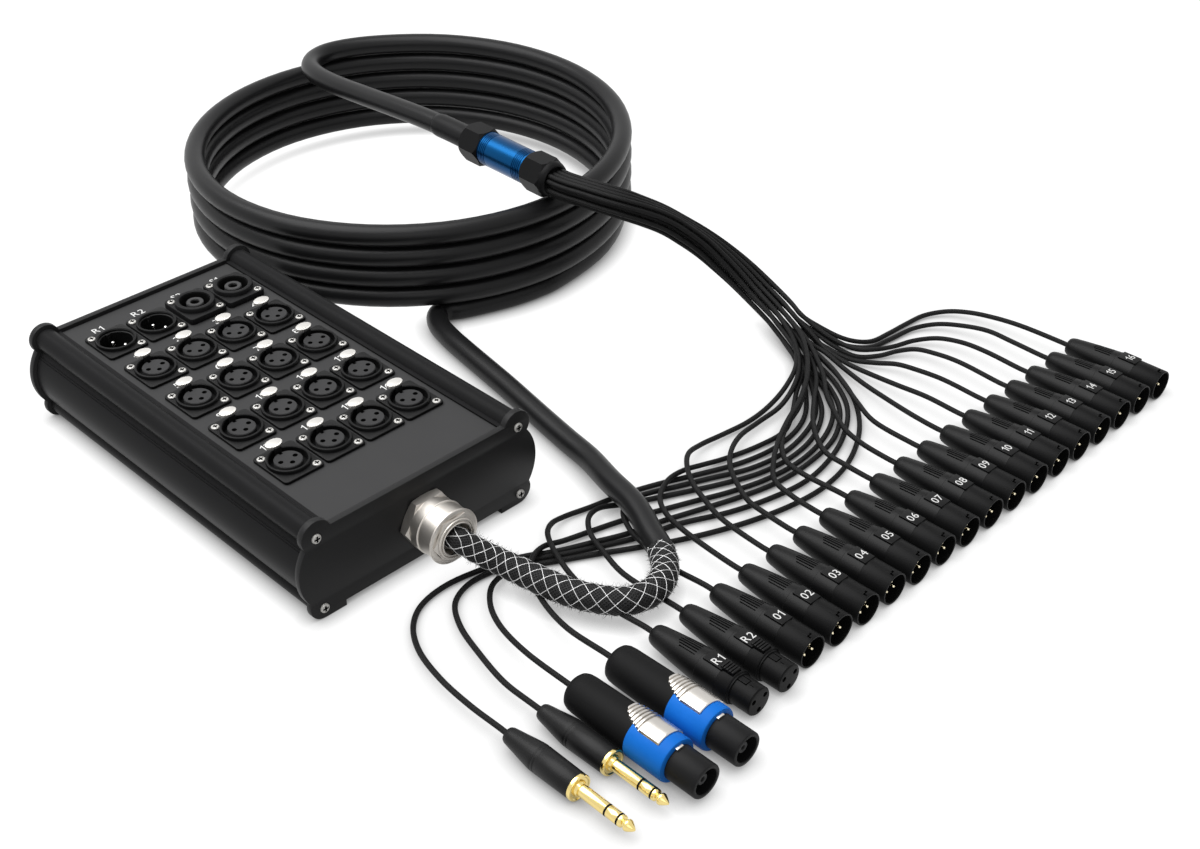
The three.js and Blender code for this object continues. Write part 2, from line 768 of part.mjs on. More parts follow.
/** The middle line of the coil: a straight end, one helix, a straight end. */
function coilPoints() {
  const turns = coilFullTurns + (coilEndDegrees + 360 - coilStartDegrees) / 360;
  const steps = Math.round(turns * coilStepsPerLoop);
  const points = [];
  for (let i = 0; i <= steps; i += 1) {
    const s = (turns * i) / steps;
    const layer = Math.floor(s) + Math.min(1, (s % 1) / climbShare);
    const angle = THREE.MathUtils.degToRad(coilStartDegrees) + 2 * Math.PI * s;
    points.push(new THREE.Vector3(
      coilX + coilRadius * Math.cos(angle),
      coilY + coilRadius * Math.sin(angle),
      multicoreRadius + coilPitch * layer,
    ));
  }
  const endAngle = THREE.MathUtils.degToRad(coilEndDegrees);
  const first = points[0].clone();
  first.x -= coilStraight;
  const last = points[points.length - 1].clone();
  last.x -= coilStraight * Math.sin(endAngle);
  last.y += coilStraight * Math.cos(endAngle);
  return [first, ...points, last];
}

/** One unbroken tube with a ring of corners at each point, level across, and flat ends. */
function ringedTube(points, radius, sides) {
  const positions = [];
  const index = [];
  const up = new THREE.Vector3(0, 0, 1);
  points.forEach((point, i) => {
    const before = points[Math.max(i - 1, 0)];
    const after = points[Math.min(i + 1, points.length - 1)];
    const heading = after.clone().sub(before).setZ(0).normalize();
    const across = heading.clone().cross(up);
    for (let k = 0; k < sides; k += 1) {
      const angle = (2 * Math.PI * k) / sides;
      const corner = point.clone().addScaledVector(across, radius * Math.cos(angle));
      corner.addScaledVector(up, radius * Math.sin(angle));
      positions.push(...corner);
    }
  });
  for (let i = 0; i < points.length - 1; i += 1) {
    for (let k = 0; k < sides; k += 1) {
      const a = i * sides + k;
      const b = i * sides + ((k + 1) % sides);
      index.push(a, b, b + sides, a, b + sides, a + sides);
    }
  }
  const lastRing = (points.length - 1) * sides;
  for (let k = 1; k < sides - 1; k += 1) {
    index.push(0, k + 1, k, lastRing, lastRing + k, lastRing + k + 1);
  }
  const geometry = new THREE.BufferGeometry();
  geometry.setAttribute('position', new THREE.Float32BufferAttribute(positions, 3));
  geometry.setIndex(index);
  return geometryOf(solid(geometry));
}

/** The least gap between the surfaces of neighbouring turns, measured on points. */
function leastGap(points, radius) {
  let least = Infinity;
  const apart = coilStepsPerLoop / 2;
  const line = new THREE.Line3();
  const closest = new THREE.Vector3();
  for (let i = 0; i < points.length; i += 1) {
    for (let j = i + apart; j < points.length - 1; j += 1) {
      line.set(points[j], points[j + 1]).closestPointToPoint(points[i], true, closest);
      least = Math.min(least, closest.distanceTo(points[i]) - 2 * radius);
    }
  }
  return least;
}

const coil = coilPoints();
console.log(`coil: least gap to itself ${leastGap(coil, multicoreRadius).toFixed(2)} mm`);
const coilLast = coil.slice(-2).map((point) => point.toArray());
const fullEndRoute = [
  ahead(coilLast, seatGap),
  ahead(coilLast, seatGap + multicoreRadius),
  ...endRoute,
  [breakoutX, breakoutRear + seatGap, breakoutZ],
];
const multicore = (route) => tube(route, multicoreRadius, multicoreSides);
node('cable_sock', tube(fullSockRoute, sockRadius, multicoreSides), meshGrey);
node('multicore_lead', multicore(fullLeadRoute), jacketBlack);
node('multicore_coil', ringedTube(coil, multicoreRadius, coilSides), jacketBlack);
node('multicore_end', multicore(fullEndRoute), jacketBlack);

// Breakout, forward from its rear face
const barrelFrom = innerNutLength + seatGap;
const barrelTo = barrelFrom + barrelLength;
const outerNutFrom = barrelTo + seatGap;
const outerNutTo = outerNutFrom + outerNutLength;
const bundleMouth = outerNutTo + domeLength;
const breakoutPlace = [breakoutX, breakoutRear, breakoutZ];
const breakoutSides = 16;
const barrel = turnedForward([
  [0, barrelFrom], [barrelRimRadius, barrelFrom], [barrelRimRadius, barrelFrom + barrelRimLength],
  [barrelRadius, barrelFrom + barrelRimLength], [barrelRadius, barrelTo - barrelRimLength],
  [barrelRimRadius, barrelTo - barrelRimLength], [barrelRimRadius, barrelTo], [0, barrelTo],
], breakoutSides);
const dome = turnedForward([
  [0, outerNutTo - overrun], [hexCorner * hexFlatShare, outerNutTo - overrun],
  [hexCorner * hexFlatShare, outerNutTo], [domeRadius, bundleMouth], [0, bundleMouth],
], breakoutSides);
const innerNut = turnedForward(rod(hexCorner, 0, innerNutLength), hexSides, hexPhase);
node('breakout_nut_in', innerNut, plugBlack, breakoutPlace);
node('breakout_barrel', barrel, anodisedBlue, breakoutPlace);
node(
  'breakout_nut_out',
  join(turnedForward(rod(hexCorner, outerNutFrom, outerNutTo), hexSides, hexPhase), dome),
  plugBlack,
  breakoutPlace,
);

// Line plugs, each turned round its own axis from its rear face forward
const numberPad = block(
  [-padWidth / 2, -bootLength - padLength, 0],
  [padWidth / 2, -bootLength, plugRadius + padRise],
);

function sendPlug() {
  const cupFloor = sendPlugLength - plugCupDepth;
  const body = turnedForward([
    [0, 0], [bootRearRadius, 0], [plugRadius, bootLength], [plugRadius, sendPlugLength],
    [plugCupRadius, sendPlugLength], [plugCupRadius, cupFloor], [0, cupFloor],
  ], plugSides);
  const pins = threePins(turnedForward, cupFloor - overrun, sendPlugLength - plugPinRecess)
    .map(([pin, x, z]) => pin.translate(x, 0, z));
  return join(body, numberPad, ...pins);
}

const buttonTop = plugRadius + buttonProud;
const buttonBottom = buttonTop - buttonDepth;

function returnPlug() {
  const body = turnedForward([
    [0, 0], [bootRearRadius, 0], [plugRadius, bootLength], [plugRadius, returnShellLength],
    [returnNoseRadius, returnShellLength], [returnNoseRadius, returnPlugLength],
    [0, returnPlugLength],
  ], plugSides);
  const contacts = pinTurnDegrees.map((degrees) => {
    const angle = THREE.MathUtils.degToRad(-degrees);
    const hole = rod(contactRadius, returnPlugLength - contactDepth, returnPlugLength + overrun);
    const [x, z] = [pinCircle * Math.cos(angle), pinCircle * Math.sin(angle)];
    return turnedForward(hole, pinSides).translate(x, 0, z);
  });
  const pocketHalf = buttonWidth / 2 + slideGap;
  const pocketFloor = buttonBottom - buttonTravel - slideGap;
  const pocket = block(
    [-pocketHalf, -buttonFrom - buttonLength - slideGap, pocketFloor],
    [pocketHalf, -buttonFrom + slideGap, buttonTop + overrun],
  );
  return cut(join(body, numberPad), pocket, ...contacts);
}

const returnButton = block(
  [-buttonWidth / 2, -buttonFrom - buttonLength, buttonBottom],
  [buttonWidth / 2, -buttonFrom, buttonTop],
);

const trackFloor = collarRadius - trackDrop;

function speakerPlug() {
  const collarEnd = sleeveLength + collarLength;
  const noseEnd = collarEnd + noseLength;
  const noseFloor = noseEnd - noseDepth;
  const postEnd = noseEnd - postRecess;
  const body = turnedForward([
    [0, 0], [sleeveRearRadius, 0], [sleeveRadius, sleeveLength], [collarRadius, sleeveLength],
    [collarRadius, collarEnd], [noseRadius, collarEnd], [noseRadius, noseEnd], [noseBore, noseEnd],
    [noseBore, noseFloor], [postRadius, noseFloor], [postRadius, postEnd], [0, postEnd],
  ], plugSides);
  const track = block(
    [-thumbWidth / 2 - slideGap, -thumbFrom - thumbLength - slideGap, trackFloor],
    [thumbWidth / 2 + slideGap, -thumbFrom + thumbTravel + slideGap, collarRadius + overrun],
  );
  return cut(body, track);
}

/** A thumb latch: a slider with square ribs across its rear half. */
function thumbLatch() {
  const bottom = trackFloor + slideGap;
  const top = bottom + thumbHeight;
  const front = -thumbFrom - thumbLength;
  const ribPitch = thumbLength / 2 / thumbRibs;
  const points = [[-thumbFrom, bottom]];
  for (let i = 0; i < thumbRibs; i += 1) {
    const y = -thumbFrom - i * ribPitch;
    const crestEnd = y - ribPitch / 2;
    points.push([y, top], [crestEnd, top], [crestEnd, top - ribDepth], [y - ribPitch, top - ribDepth]);
  }
  points.push([front, top - ribDepth], [front, bottom]);
  return crossProfile(points, thumbWidth);
}

function jackPlug() {
  const barrelEnd = jackTaper + jackBarrel;
  const collarEnd = barrelEnd + jackCollarLength;
  const shaftEnd = collarEnd + jackShaftLength;
  return turnedForward([
    [0, 0], [jackRearRadius, 0], [jackRadius, jackTaper], [jackRadius, barrelEnd],
    [jackCollarRadius, barrelEnd], [jackCollarRadius, collarEnd], [jackShaftRadius, collarEnd],
    [jackShaftRadius, shaftEnd], [jackNeckRadius, shaftEnd + jackNeckLength],
    [jackShaftRadius, shaftEnd + 2 * jackNeckLength], [jackPointRadius, shaftEnd + jackTipLength],
    [0, shaftEnd + jackTipLength],
  ], plugSides);
}

// Where each tail ends: [x, rear of its plug, height of its axis]
const tailEnds = {};
const sendGeometry = sendPlug();
for (let i = 0; i < sendCount; i += 1) {
  const number = twoDigits(i + 1);
  const end = [sendFirstX + i * sendPitch, plugRearY, plugRadius];
  tailEnds[`send_${number}`] = end;
  node(`send_plug_${number}`, sendGeometry, plugBlack, end);
}
for (const [name, x] of Object.entries(returnPlugs)) {
  const end = [x, plugRearY, plugRadius];
  tailEnds[`return_${name}`] = end;
  node(`return_plug_${name}`, returnPlug(), plugBlack, end);
  node(`return_latch_${name}`, returnButton, plugBlack, end);
}
for (const [name, x] of Object.entries(speakerPlugs)) {
  const end = [x, speakerRearY, collarRadius];
  tailEnds[name] = end;
  node(name.replace('speaker', 'speaker_plug'), speakerPlug(), sleeveBlack, end);
  node(name.replace('speaker', 'speaker_latch'), thumbLatch(), silver, end);
}
for (const [name, x] of Object.entries(jackPlugs)) {
  const end = [x, jackRearY, jackRadius];
  tailEnds[name] = end;
  node(name.replace('jack', 'jack_plug'), jackPlug(), gold, end);
}

// Loom: the bundle and the tails that grow out of its end
const heading = new THREE.Vector3(...bundleHeading).normalize();
const across = new THREE.Vector3(0, 0, 1).cross(heading).normalize();
const upward = heading.clone().cross(across);

/** The place of a tail in the end of the bundle, a little way inside it. */
function tailStart([column, row]) {
  const start = new THREE.Vector3(...bundleEnd).addScaledVector(heading, -tailPitch);
  start.addScaledVector(across, column * tailPitch);
  start.addScaledVector(upward, row * tailPitch * rowRiseShare);
  return start.toArray();
}

const bundle = tube(
  [[breakoutX, breakoutRear - bundleMouth - seatGap, breakoutZ], ...bundleRoute, bundleEnd],
  bundleRadius,
  bundleSides,
);
const tails = Object.entries(tailRoutes).map(([name, { start, points }]) => {
  const [x, rear, z] = tailEnds[name];
  const route = [tailStart(start), ...points, [x, rear + tailStraight, z], [x, rear + seatGap, z]];
  return tube(route, tailRadius, tailSides);
});
node('tail_loom', join(bundle, ...tails), tailBlack);

export default group;
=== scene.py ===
import json
import math
import random

import bmesh
import bpy
from mathutils import Matrix, Vector
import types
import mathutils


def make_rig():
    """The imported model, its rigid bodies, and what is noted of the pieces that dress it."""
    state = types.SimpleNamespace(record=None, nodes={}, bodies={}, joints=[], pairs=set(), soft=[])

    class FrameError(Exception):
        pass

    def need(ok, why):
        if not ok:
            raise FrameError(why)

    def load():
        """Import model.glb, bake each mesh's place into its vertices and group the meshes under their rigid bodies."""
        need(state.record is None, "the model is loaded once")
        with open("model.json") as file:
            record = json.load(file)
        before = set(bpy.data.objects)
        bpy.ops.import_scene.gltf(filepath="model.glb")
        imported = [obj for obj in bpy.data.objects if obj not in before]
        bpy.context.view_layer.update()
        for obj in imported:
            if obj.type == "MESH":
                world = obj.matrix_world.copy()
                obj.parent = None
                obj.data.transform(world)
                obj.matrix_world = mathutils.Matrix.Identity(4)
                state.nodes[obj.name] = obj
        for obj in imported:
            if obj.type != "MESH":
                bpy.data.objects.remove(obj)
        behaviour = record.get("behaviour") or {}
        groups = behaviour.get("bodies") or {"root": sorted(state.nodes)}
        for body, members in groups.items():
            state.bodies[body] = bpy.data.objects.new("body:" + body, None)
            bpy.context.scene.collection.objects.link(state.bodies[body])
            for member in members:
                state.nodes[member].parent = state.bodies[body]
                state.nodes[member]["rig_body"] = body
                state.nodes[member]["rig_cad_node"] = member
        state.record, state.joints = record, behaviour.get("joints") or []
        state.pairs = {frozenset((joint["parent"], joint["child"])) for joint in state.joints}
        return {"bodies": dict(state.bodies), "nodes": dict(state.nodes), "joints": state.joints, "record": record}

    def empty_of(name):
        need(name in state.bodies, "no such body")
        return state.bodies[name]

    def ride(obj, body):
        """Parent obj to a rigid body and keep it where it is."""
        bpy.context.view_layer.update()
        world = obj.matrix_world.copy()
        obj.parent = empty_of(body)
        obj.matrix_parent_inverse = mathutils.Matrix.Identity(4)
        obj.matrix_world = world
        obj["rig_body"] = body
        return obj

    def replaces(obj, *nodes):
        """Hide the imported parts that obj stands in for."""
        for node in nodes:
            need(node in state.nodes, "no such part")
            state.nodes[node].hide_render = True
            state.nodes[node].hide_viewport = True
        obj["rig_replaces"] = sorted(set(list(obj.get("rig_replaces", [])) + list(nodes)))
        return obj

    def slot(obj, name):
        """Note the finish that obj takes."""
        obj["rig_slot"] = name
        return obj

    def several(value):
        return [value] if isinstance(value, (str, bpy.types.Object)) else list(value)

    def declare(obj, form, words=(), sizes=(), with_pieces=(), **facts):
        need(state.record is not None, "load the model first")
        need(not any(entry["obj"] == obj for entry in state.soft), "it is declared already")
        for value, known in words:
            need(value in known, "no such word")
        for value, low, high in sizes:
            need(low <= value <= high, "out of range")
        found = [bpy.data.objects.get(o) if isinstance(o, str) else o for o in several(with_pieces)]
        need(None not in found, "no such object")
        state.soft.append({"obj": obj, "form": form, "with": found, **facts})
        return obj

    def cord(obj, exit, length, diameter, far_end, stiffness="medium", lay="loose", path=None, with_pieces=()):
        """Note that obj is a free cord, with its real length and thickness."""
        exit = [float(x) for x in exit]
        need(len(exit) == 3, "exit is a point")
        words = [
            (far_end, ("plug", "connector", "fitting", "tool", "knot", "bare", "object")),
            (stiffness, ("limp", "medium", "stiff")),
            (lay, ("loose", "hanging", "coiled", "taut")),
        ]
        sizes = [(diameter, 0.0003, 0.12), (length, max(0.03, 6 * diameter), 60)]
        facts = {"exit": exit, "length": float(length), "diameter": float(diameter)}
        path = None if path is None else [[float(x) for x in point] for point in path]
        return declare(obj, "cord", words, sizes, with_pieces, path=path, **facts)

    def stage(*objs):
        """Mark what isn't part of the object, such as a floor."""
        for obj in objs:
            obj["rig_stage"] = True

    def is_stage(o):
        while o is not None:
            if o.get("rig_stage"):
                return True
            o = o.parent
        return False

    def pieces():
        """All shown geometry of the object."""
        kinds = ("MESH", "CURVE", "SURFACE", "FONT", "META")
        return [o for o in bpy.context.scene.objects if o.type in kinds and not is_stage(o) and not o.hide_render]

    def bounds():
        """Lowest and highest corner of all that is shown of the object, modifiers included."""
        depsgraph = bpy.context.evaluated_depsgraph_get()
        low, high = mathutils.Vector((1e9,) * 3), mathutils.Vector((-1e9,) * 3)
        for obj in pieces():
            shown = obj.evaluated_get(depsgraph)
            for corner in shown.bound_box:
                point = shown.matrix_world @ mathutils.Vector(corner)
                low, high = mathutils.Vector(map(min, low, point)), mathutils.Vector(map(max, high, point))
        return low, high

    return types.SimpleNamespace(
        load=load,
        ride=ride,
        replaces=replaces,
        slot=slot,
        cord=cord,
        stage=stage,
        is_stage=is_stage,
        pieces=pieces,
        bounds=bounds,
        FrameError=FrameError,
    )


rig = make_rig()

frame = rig.load()
cad_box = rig.bounds()
MM = 0.001

# Camera
# A plain lens that looks down on the gland end of the box from the left, at the height and
# distance at which the real thing was photographed, with the plugs to its right.


def new_object(name, data):
    """An object for a camera, mesh, curve or lamp, put in the scene."""
    made = bpy.data.objects.new(name, data)
    bpy.context.scene.collection.objects.link(made)
    return made


camera = new_object("camera", bpy.data.cameras.new("camera"))
camera.data.sensor_width = 36
camera.data.lens = 50.04
camera.data.clip_start = 0.01
camera.location = Vector((-431.6, -699.3, 583.28)) * MM
camera.rotation_euler = (math.radians(54.95), 0, math.radians(-45))
bpy.context.scene.camera = camera

# Multicore cable
# One round cable with a smooth black jacket: out of the gland, over the floor, into a coil of
# a little over four turns, and down from the top of the coil into the breakout.


def new_group(name, takes, gives):
    """A shader node group with named inputs and outputs, and its two end nodes."""
    group = bpy.data.node_groups.new(name, "ShaderNodeTree")
    for label, (kind, value) in takes.items():
        socket = group.interface.new_socket(name=label, in_out="INPUT", socket_type=f"NodeSocket{kind}")
        if value is not None:
            socket.default_value = value
    for label, kind in gives.items():
        group.interface.new_socket(name=label, in_out="OUTPUT", socket_type=f"NodeSocket{kind}")
    return group, group.nodes.new("NodeGroupInput"), group.nodes.new("NodeGroupOutput")


def worked(tree, operation, *values):
    """The output of a Math node whose inputs are numbers or the outputs of other nodes."""
    node = tree.nodes.new("ShaderNodeMath")
    node.operation = operation
    for socket, value in zip(node.inputs, values):
        if isinstance(value, (int, float)):
            socket.default_value = value
        else:
            tree.links.new(value, socket)
    return node.outputs[0]


def bumped(tree, height, strength, distance, normal):
    """A Bump node between a height and the normal that it feeds."""
    bump = tree.nodes.new("ShaderNodeBump")
    bump.inputs["Distance"].default_value = distance
    tree.links.new(strength, bump.inputs["Strength"])
    tree.links.new(height, bump.inputs["Height"])
    tree.links.new(bump.outputs["Normal"], normal)


def moulded_grain_group():
    """A fine grain: a bump, and a roughness and a tint that change a little over the surface."""
    group, given, put = new_group(
        "moulded_grain",
        {
            "Vector": ("Vector", None), "Scale": ("Float", 2000.0), "Depth": ("Float", 0.1),
            "Roughness": ("Float", 0.5), "Swing": ("Float", 0.1), "Colour": ("Color", (0.02, 0.02, 0.02, 1)),
            "Shade": ("Float", 0.2),
        },
        {"Colour": "Color", "Roughness": "Float", "Normal": "Vector"},
    )
    nodes, links = group.nodes, group.links
    fine = nodes.new("ShaderNodeTexNoise")
    fine.inputs["Detail"].default_value = 3
    links.new(given.outputs["Vector"], fine.inputs["Vector"])
    links.new(given.outputs["Scale"], fine.inputs["Scale"])
    broad = nodes.new("ShaderNodeTexNoise")
    broad.inputs["Scale"].default_value = 35
    broad.inputs["Detail"].default_value = 4
    links.new(given.outputs["Vector"], broad.inputs["Vector"])
    bumped(group, fine.outputs["Fac"], given.outputs["Depth"], 0.0001, put.inputs["Normal"])
    centred = worked(group, "SUBTRACT", broad.outputs["Fac"], 0.5)
    swung = worked(group, "MULTIPLY_ADD", centred, given.outputs["Swing"], given.outputs["Roughness"])
    links.new(swung, put.inputs["Roughness"])
    tint = nodes.new("ShaderNodeVectorMath")
    tint.operation = "SCALE"
    links.new(given.outputs["Colour"], tint.inputs[0])
    links.new(worked(group, "MULTIPLY_ADD", centred, given.outputs["Shade"], 1), tint.inputs["Scale"])
    links.new(tint.outputs["Vector"], put.inputs["Colour"])
    return group


moulded_grain = moulded_grain_group()


def with_pattern(name, group, values):
    """A new material, its main shader, and a node group in it that has its own values."""
    material = bpy.data.materials.new(name)
    material.use_nodes = True
    pattern = material.node_tree.nodes.new("ShaderNodeGroup")
    pattern.node_tree = group
    for label, value in values.items():
        pattern.inputs[label].default_value = value
    return material, material.node_tree.nodes["Principled BSDF"], pattern


def grained(name, colour, roughness, metallic=0.0, scale=2000, depth=0.1, swing=0.1, shade=0.2, shine=0.11):
    """A material with the fine grain, for moulded, painted, plated and anodised surfaces."""
    values = {
        "Scale": scale, "Depth": depth, "Roughness": roughness, "Swing": swing, "Colour": (*colour, 1),
        "Shade": shade,
    }
    material, shader, grain = with_pattern(name, moulded_grain, values)
    shader.inputs["Metallic"].default_value = metallic
    shader.inputs["Specular IOR Level"].default_value = 0.5 if metallic else shine
    place = material.node_tree.nodes.new("ShaderNodeTexCoord")
    links = material.node_tree.links
    links.new(place.outputs["Object"], grain.inputs["Vector"])
    links.new(grain.outputs["Colour"], shader.inputs["Base Color"])
    links.new(grain.outputs["Roughness"], shader.inputs["Roughness"])
    links.new(grain.outputs["Normal"], shader.inputs["Normal"])
    return material


def smooth_line(points, steps=6):
    """A centripetal curve through points in millimetres, as close points in metres."""
    given = [Vector(point) * MM for point in points]
    ends = [2 * given[0] - given[1], *given, 2 * given[-1] - given[-2]]
    line = []
    for before, start, end, after in zip(ends, ends[1:], ends[2:], ends[3:]):
        t1 = max((start - before).length, 1e-6) ** 0.5
        t2 = t1 + max((end - start).length, 1e-6) ** 0.5
        t3 = t2 + max((after - end).length, 1e-6) ** 0.5
        for step in range(steps):
            t = t1 + (t2 - t1) * step / steps
            a1 = before.lerp(start, t / t1)
            a2 = start.lerp(end, (t - t1) / (t2 - t1))
            a3 = end.lerp(after, (t - t2) / (t3 - t2))
            b1 = a1.lerp(a2, t / t2)
            b2 = a2.lerp(a3, (t - t1) / (t3 - t1))
            line.append(b1.lerp(b2, (t - t1) / (t2 - t1)))
    return [*line, given[-1]]


def line_length(line):
    """The length of a line of close points."""
    return sum((b - a).length for a, b in zip(line, line[1:]))


def frames_along(line):
    """Each point of a line with its distance from the start, its heading and two sides."""
    found = []
    side = None
    gone = 0.0
    for i, point in enumerate(line):
        ahead = (line[min(i + 1, len(line) - 1)] - line[max(i - 1, 0)]).normalized()
        if side is None:
            side = ahead.orthogonal().normalized()
        side = (side - ahead * side.dot(ahead)).normalized()
        if i:
            gone += (point - line[i - 1]).length
        found.append((point, gone, ahead, side, ahead.cross(side)))
    return found


def laid_tube(name, line, radius, sides, material):
    """A closed round tube along a line; U runs round it from 0 to 1 and V along it in metres."""
    frames = frames_along(line)
    turn = [2 * math.pi * k / sides for k in range(sides)]
    vertices = []
    for i, (point, _, _, side, other) in enumerate(frames):
        size = radius(i / (len(line) - 1)) if callable(radius) else radius
        vertices += [point + size * (math.cos(a) * side + math.sin(a) * other) for a in turn]
    faces = []
    spots = []
    for i in range(len(line) - 1):
        v0, v1 = frames[i][1], frames[i + 1][1]
        for k in range(sides):
            a, b = i * sides + k, i * sides + (k + 1) % sides
            faces.append((a, b, b + sides, a + sides))
            u0, u1 = k / sides, (k + 1) / sides
            spots.extend([(u0, v0), (u1, v0), (u1, v1), (u0, v1)])
    last = (len(line) - 1) * sides
    faces.append(tuple(reversed(range(sides))))
    faces.append(tuple(range(last, last + sides)))
    spots.extend([(k / sides, 0.0) for k in range(2 * sides)])
    mesh = bpy.data.meshes.new(name)
    mesh.from_pydata(vertices, [], faces)
    layer = mesh.uv_layers.new(name="around_and_along")
    for loop, spot in zip(layer.data, spots):
        loop.uv = spot
    mesh.polygons.foreach_set("use_smooth", [True] * (len(faces) - 2) + [False] * 2)
    mesh.materials.append(material)
    return new_object(name, mesh)


MULTICORE_RADIUS = 7.2
GLAND_MOUTH_Y = -160.5
GLAND_Z = 28.5
COIL_CENTRE = (249, 174)
COIL_RADIUS = 152
COIL_PITCH = 15
COIL_FROM, COIL_TO, COIL_TURNS = 270, 62, 4
# The cable climbs to the next layer over this part of a turn, and its first half turn lies in.
COIL_CLIMB = 0.85
COIL_START_IN = 4.5
STEPS_A_TURN = 16
MULTICORE_STEPS = 5
# The gland grips the cable this deep; the grip fades out over 1 / GRIP_FADES of the sock.
GRIP_DEPTH = 1.4
GRIP_FADES = 2.2

sock_route = [
    (0, GLAND_MOUTH_Y + 7.7, GLAND_Z), (0, GLAND_MOUTH_Y, GLAND_Z), (1.6, -164, 27), (6, -171, 22.5),
    (12.6, -181, 17), (17, -193, 14.4), (20.6, -207, 13.4), (25.1, -223, 13.2), (31.5, -236, 13.2),
    (40, -246.5, 13.2), (51.3, -251, 13.3), (62.5, -250, 13.6), (73.6, -242.8, 14), (82, -232, 14.6),
]
lead_route = [
    (88, -219, 15), (95, -205, 15.4), (100.5, -192, 15.2), (108, -168, 12.8), (118.4, -140.5, 9),
    (123.6, -117, 7.5), (128, -95, 7.2), (132.6, -72, 7.2), (137.3, -48.7, 7.2), (141.4, -25.5, 7.2),
    (145.6, -1.5, 7.2), (150, 21, 7.2), (155.5, 38, 7.2), (163, 47, 7.2), (171, 47.6, 7.2), (179, 43, 7.2),
    (190, 38.5, 7.2), (204, 33.6, 7.2), (218, 29.6, 7.2), (233, 27.2, 7.2),
]
end_route = [
    (290, 319, 75), (272, 315, 75.6), (259, 303, 76.5), (251, 284, 78), (247, 258, 80),
    (245, 220, 83.5), (243, 180, 87.6), (242, 145, 90.2), (242, 118, 90.6), (242, 94, 90.2),
]
coil_turns = COIL_TURNS + (COIL_TO + 360 - COIL_FROM) / 360
coil_steps = round(coil_turns * STEPS_A_TURN)
coil_route = []
for i in range(coil_steps + 1):
    s = coil_turns * i / coil_steps
    layer = math.floor(s) + min(1, (s % 1) / COIL_CLIMB)
    angle = math.radians(COIL_FROM) + 2 * math.pi * s
    out = COIL_RADIUS - COIL_START_IN * max(0, 1 - 2 * s)
    coil_route.append((
        COIL_CENTRE[0] + out * math.cos(angle),
        COIL_CENTRE[1] + out * math.sin(angle),
        MULTICORE_RADIUS + COIL_PITCH * layer,
    ))

jacket_black = grained("jacket_black", (0.0095, 0.0095, 0.01), 0.36, scale=900, shine=0.17)


def gripped(share):
    """How much slimmer the cable is where the gland grips it, over the first part of a line."""
    return GRIP_DEPTH * max(0, 1 - GRIP_FADES * share)


multicore_line = smooth_line([*sock_route, *lead_route, *coil_route, *end_route], MULTICORE_STEPS)
socks_a_line = len(multicore_line) / (MULTICORE_STEPS * len(sock_route) - MULTICORE_STEPS)
multicore = laid_tube(
    "multicore_cable", multicore_line,
    lambda s: (MULTICORE_RADIUS - gripped(s * socks_a_line)) * MM, 24, jacket_black,
)
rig.ride(multicore, "stage_box")
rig.replaces(multicore, "multicore_lead", "multicore_coil", "multicore_end")
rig.slot(multicore, "cable_jacket")

# Cable sock
# A stocking of black braid over the cable where it leaves the gland, with steel wires wound both
# ways round it into diamonds, and loose black fibres that stand out of it.


def braid_group():
    """Two sets of fine crossed ridges that wind along a cord, from its own UV map."""
    group, given, put = new_group(
        "fine_braid",
        {"Around": ("Float", 12.0), "Along": ("Float", 800.0), "Depth": ("Float", 0.5)},
        {"Ridge": "Float", "Normal": "Vector"},
    )
    mapped = group.nodes.new("ShaderNodeUVMap")
    mapped.uv_map = "around_and_along"
    split = group.nodes.new("ShaderNodeSeparateXYZ")
    group.links.new(mapped.outputs["UV"], split.inputs[0])
    turns = worked(group, "MULTIPLY", split.outputs[0], given.outputs["Around"])
    climbs = worked(group, "MULTIPLY", split.outputs[1], given.outputs["Along"])
    round_it = worked(group, "MULTIPLY", turns, 2 * math.pi)
    down_it = worked(group, "MULTIPLY", climbs, 2 * math.pi)
    one_way = worked(group, "SINE", worked(group, "ADD", round_it, down_it))
    other_way = worked(group, "SINE", worked(group, "SUBTRACT", round_it, down_it))
    ridge = worked(group, "MAXIMUM", one_way, other_way)
    group.links.new(ridge, put.inputs["Ridge"])
    bumped(group, ridge, given.outputs["Depth"], 0.00015, put.inputs["Normal"])
    return group


fine_braid = braid_group()


def braided(name, colour, painted_ridge_light, roughness, around, along, depth):
    """A matt braided finish: darker between its ridges as painted shade, and a little lighter on them as painted
    light.
    """
    values = {"Around": around, "Along": along, "Depth": depth}
    material, shader, braid = with_pattern(name, fine_braid, values)
    shader.inputs["Roughness"].default_value = roughness
    shader.inputs["Specular IOR Level"].default_value = 0.15
    # The ridge height picks the colour: the base colour in the grooves is painted shade, the lighter colour on the
    # ridges is painted light.
    painted_groove_shade = material.node_tree.nodes.new("ShaderNodeValToRGB")
    painted_groove_shade.color_ramp.elements[0].position = 0.1
    painted_groove_shade.color_ramp.elements[0].color = (*colour, 1)
    painted_groove_shade.color_ramp.elements[1].color = (*painted_ridge_light, 1)
    links = material.node_tree.links
    links.new(braid.outputs["Ridge"], painted_groove_shade.inputs["Fac"])
    links.new(painted_groove_shade.outputs["Color"], shader.inputs["Base Color"])
    links.new(braid.outputs["Normal"], shader.inputs["Normal"])
    return material


SOCK_RADIUS = 7.55
WIRE_RADIUS = 0.23
WIRES_EACH_WAY = 5
WIRE_WEAVE = 0.12
DIAMOND_LENGTH = 8.6
# The diamonds are closer near the gland and at the far end, where the wires sink to the cable.
CLOSER_AT_GLAND = 0.9
CLOSER_AT_END, CLOSER_FROM = 7, 0.76
SINKS_AT_END, SINKS_FROM = 1.2, 0.82
FIBRES = 1500
FIBRE_RADIUS = 0.1
FIBRE_SHORTEST, FIBRE_LONGEST = 0.8, 3.4
FLOOR_CLEARANCE = 0.3
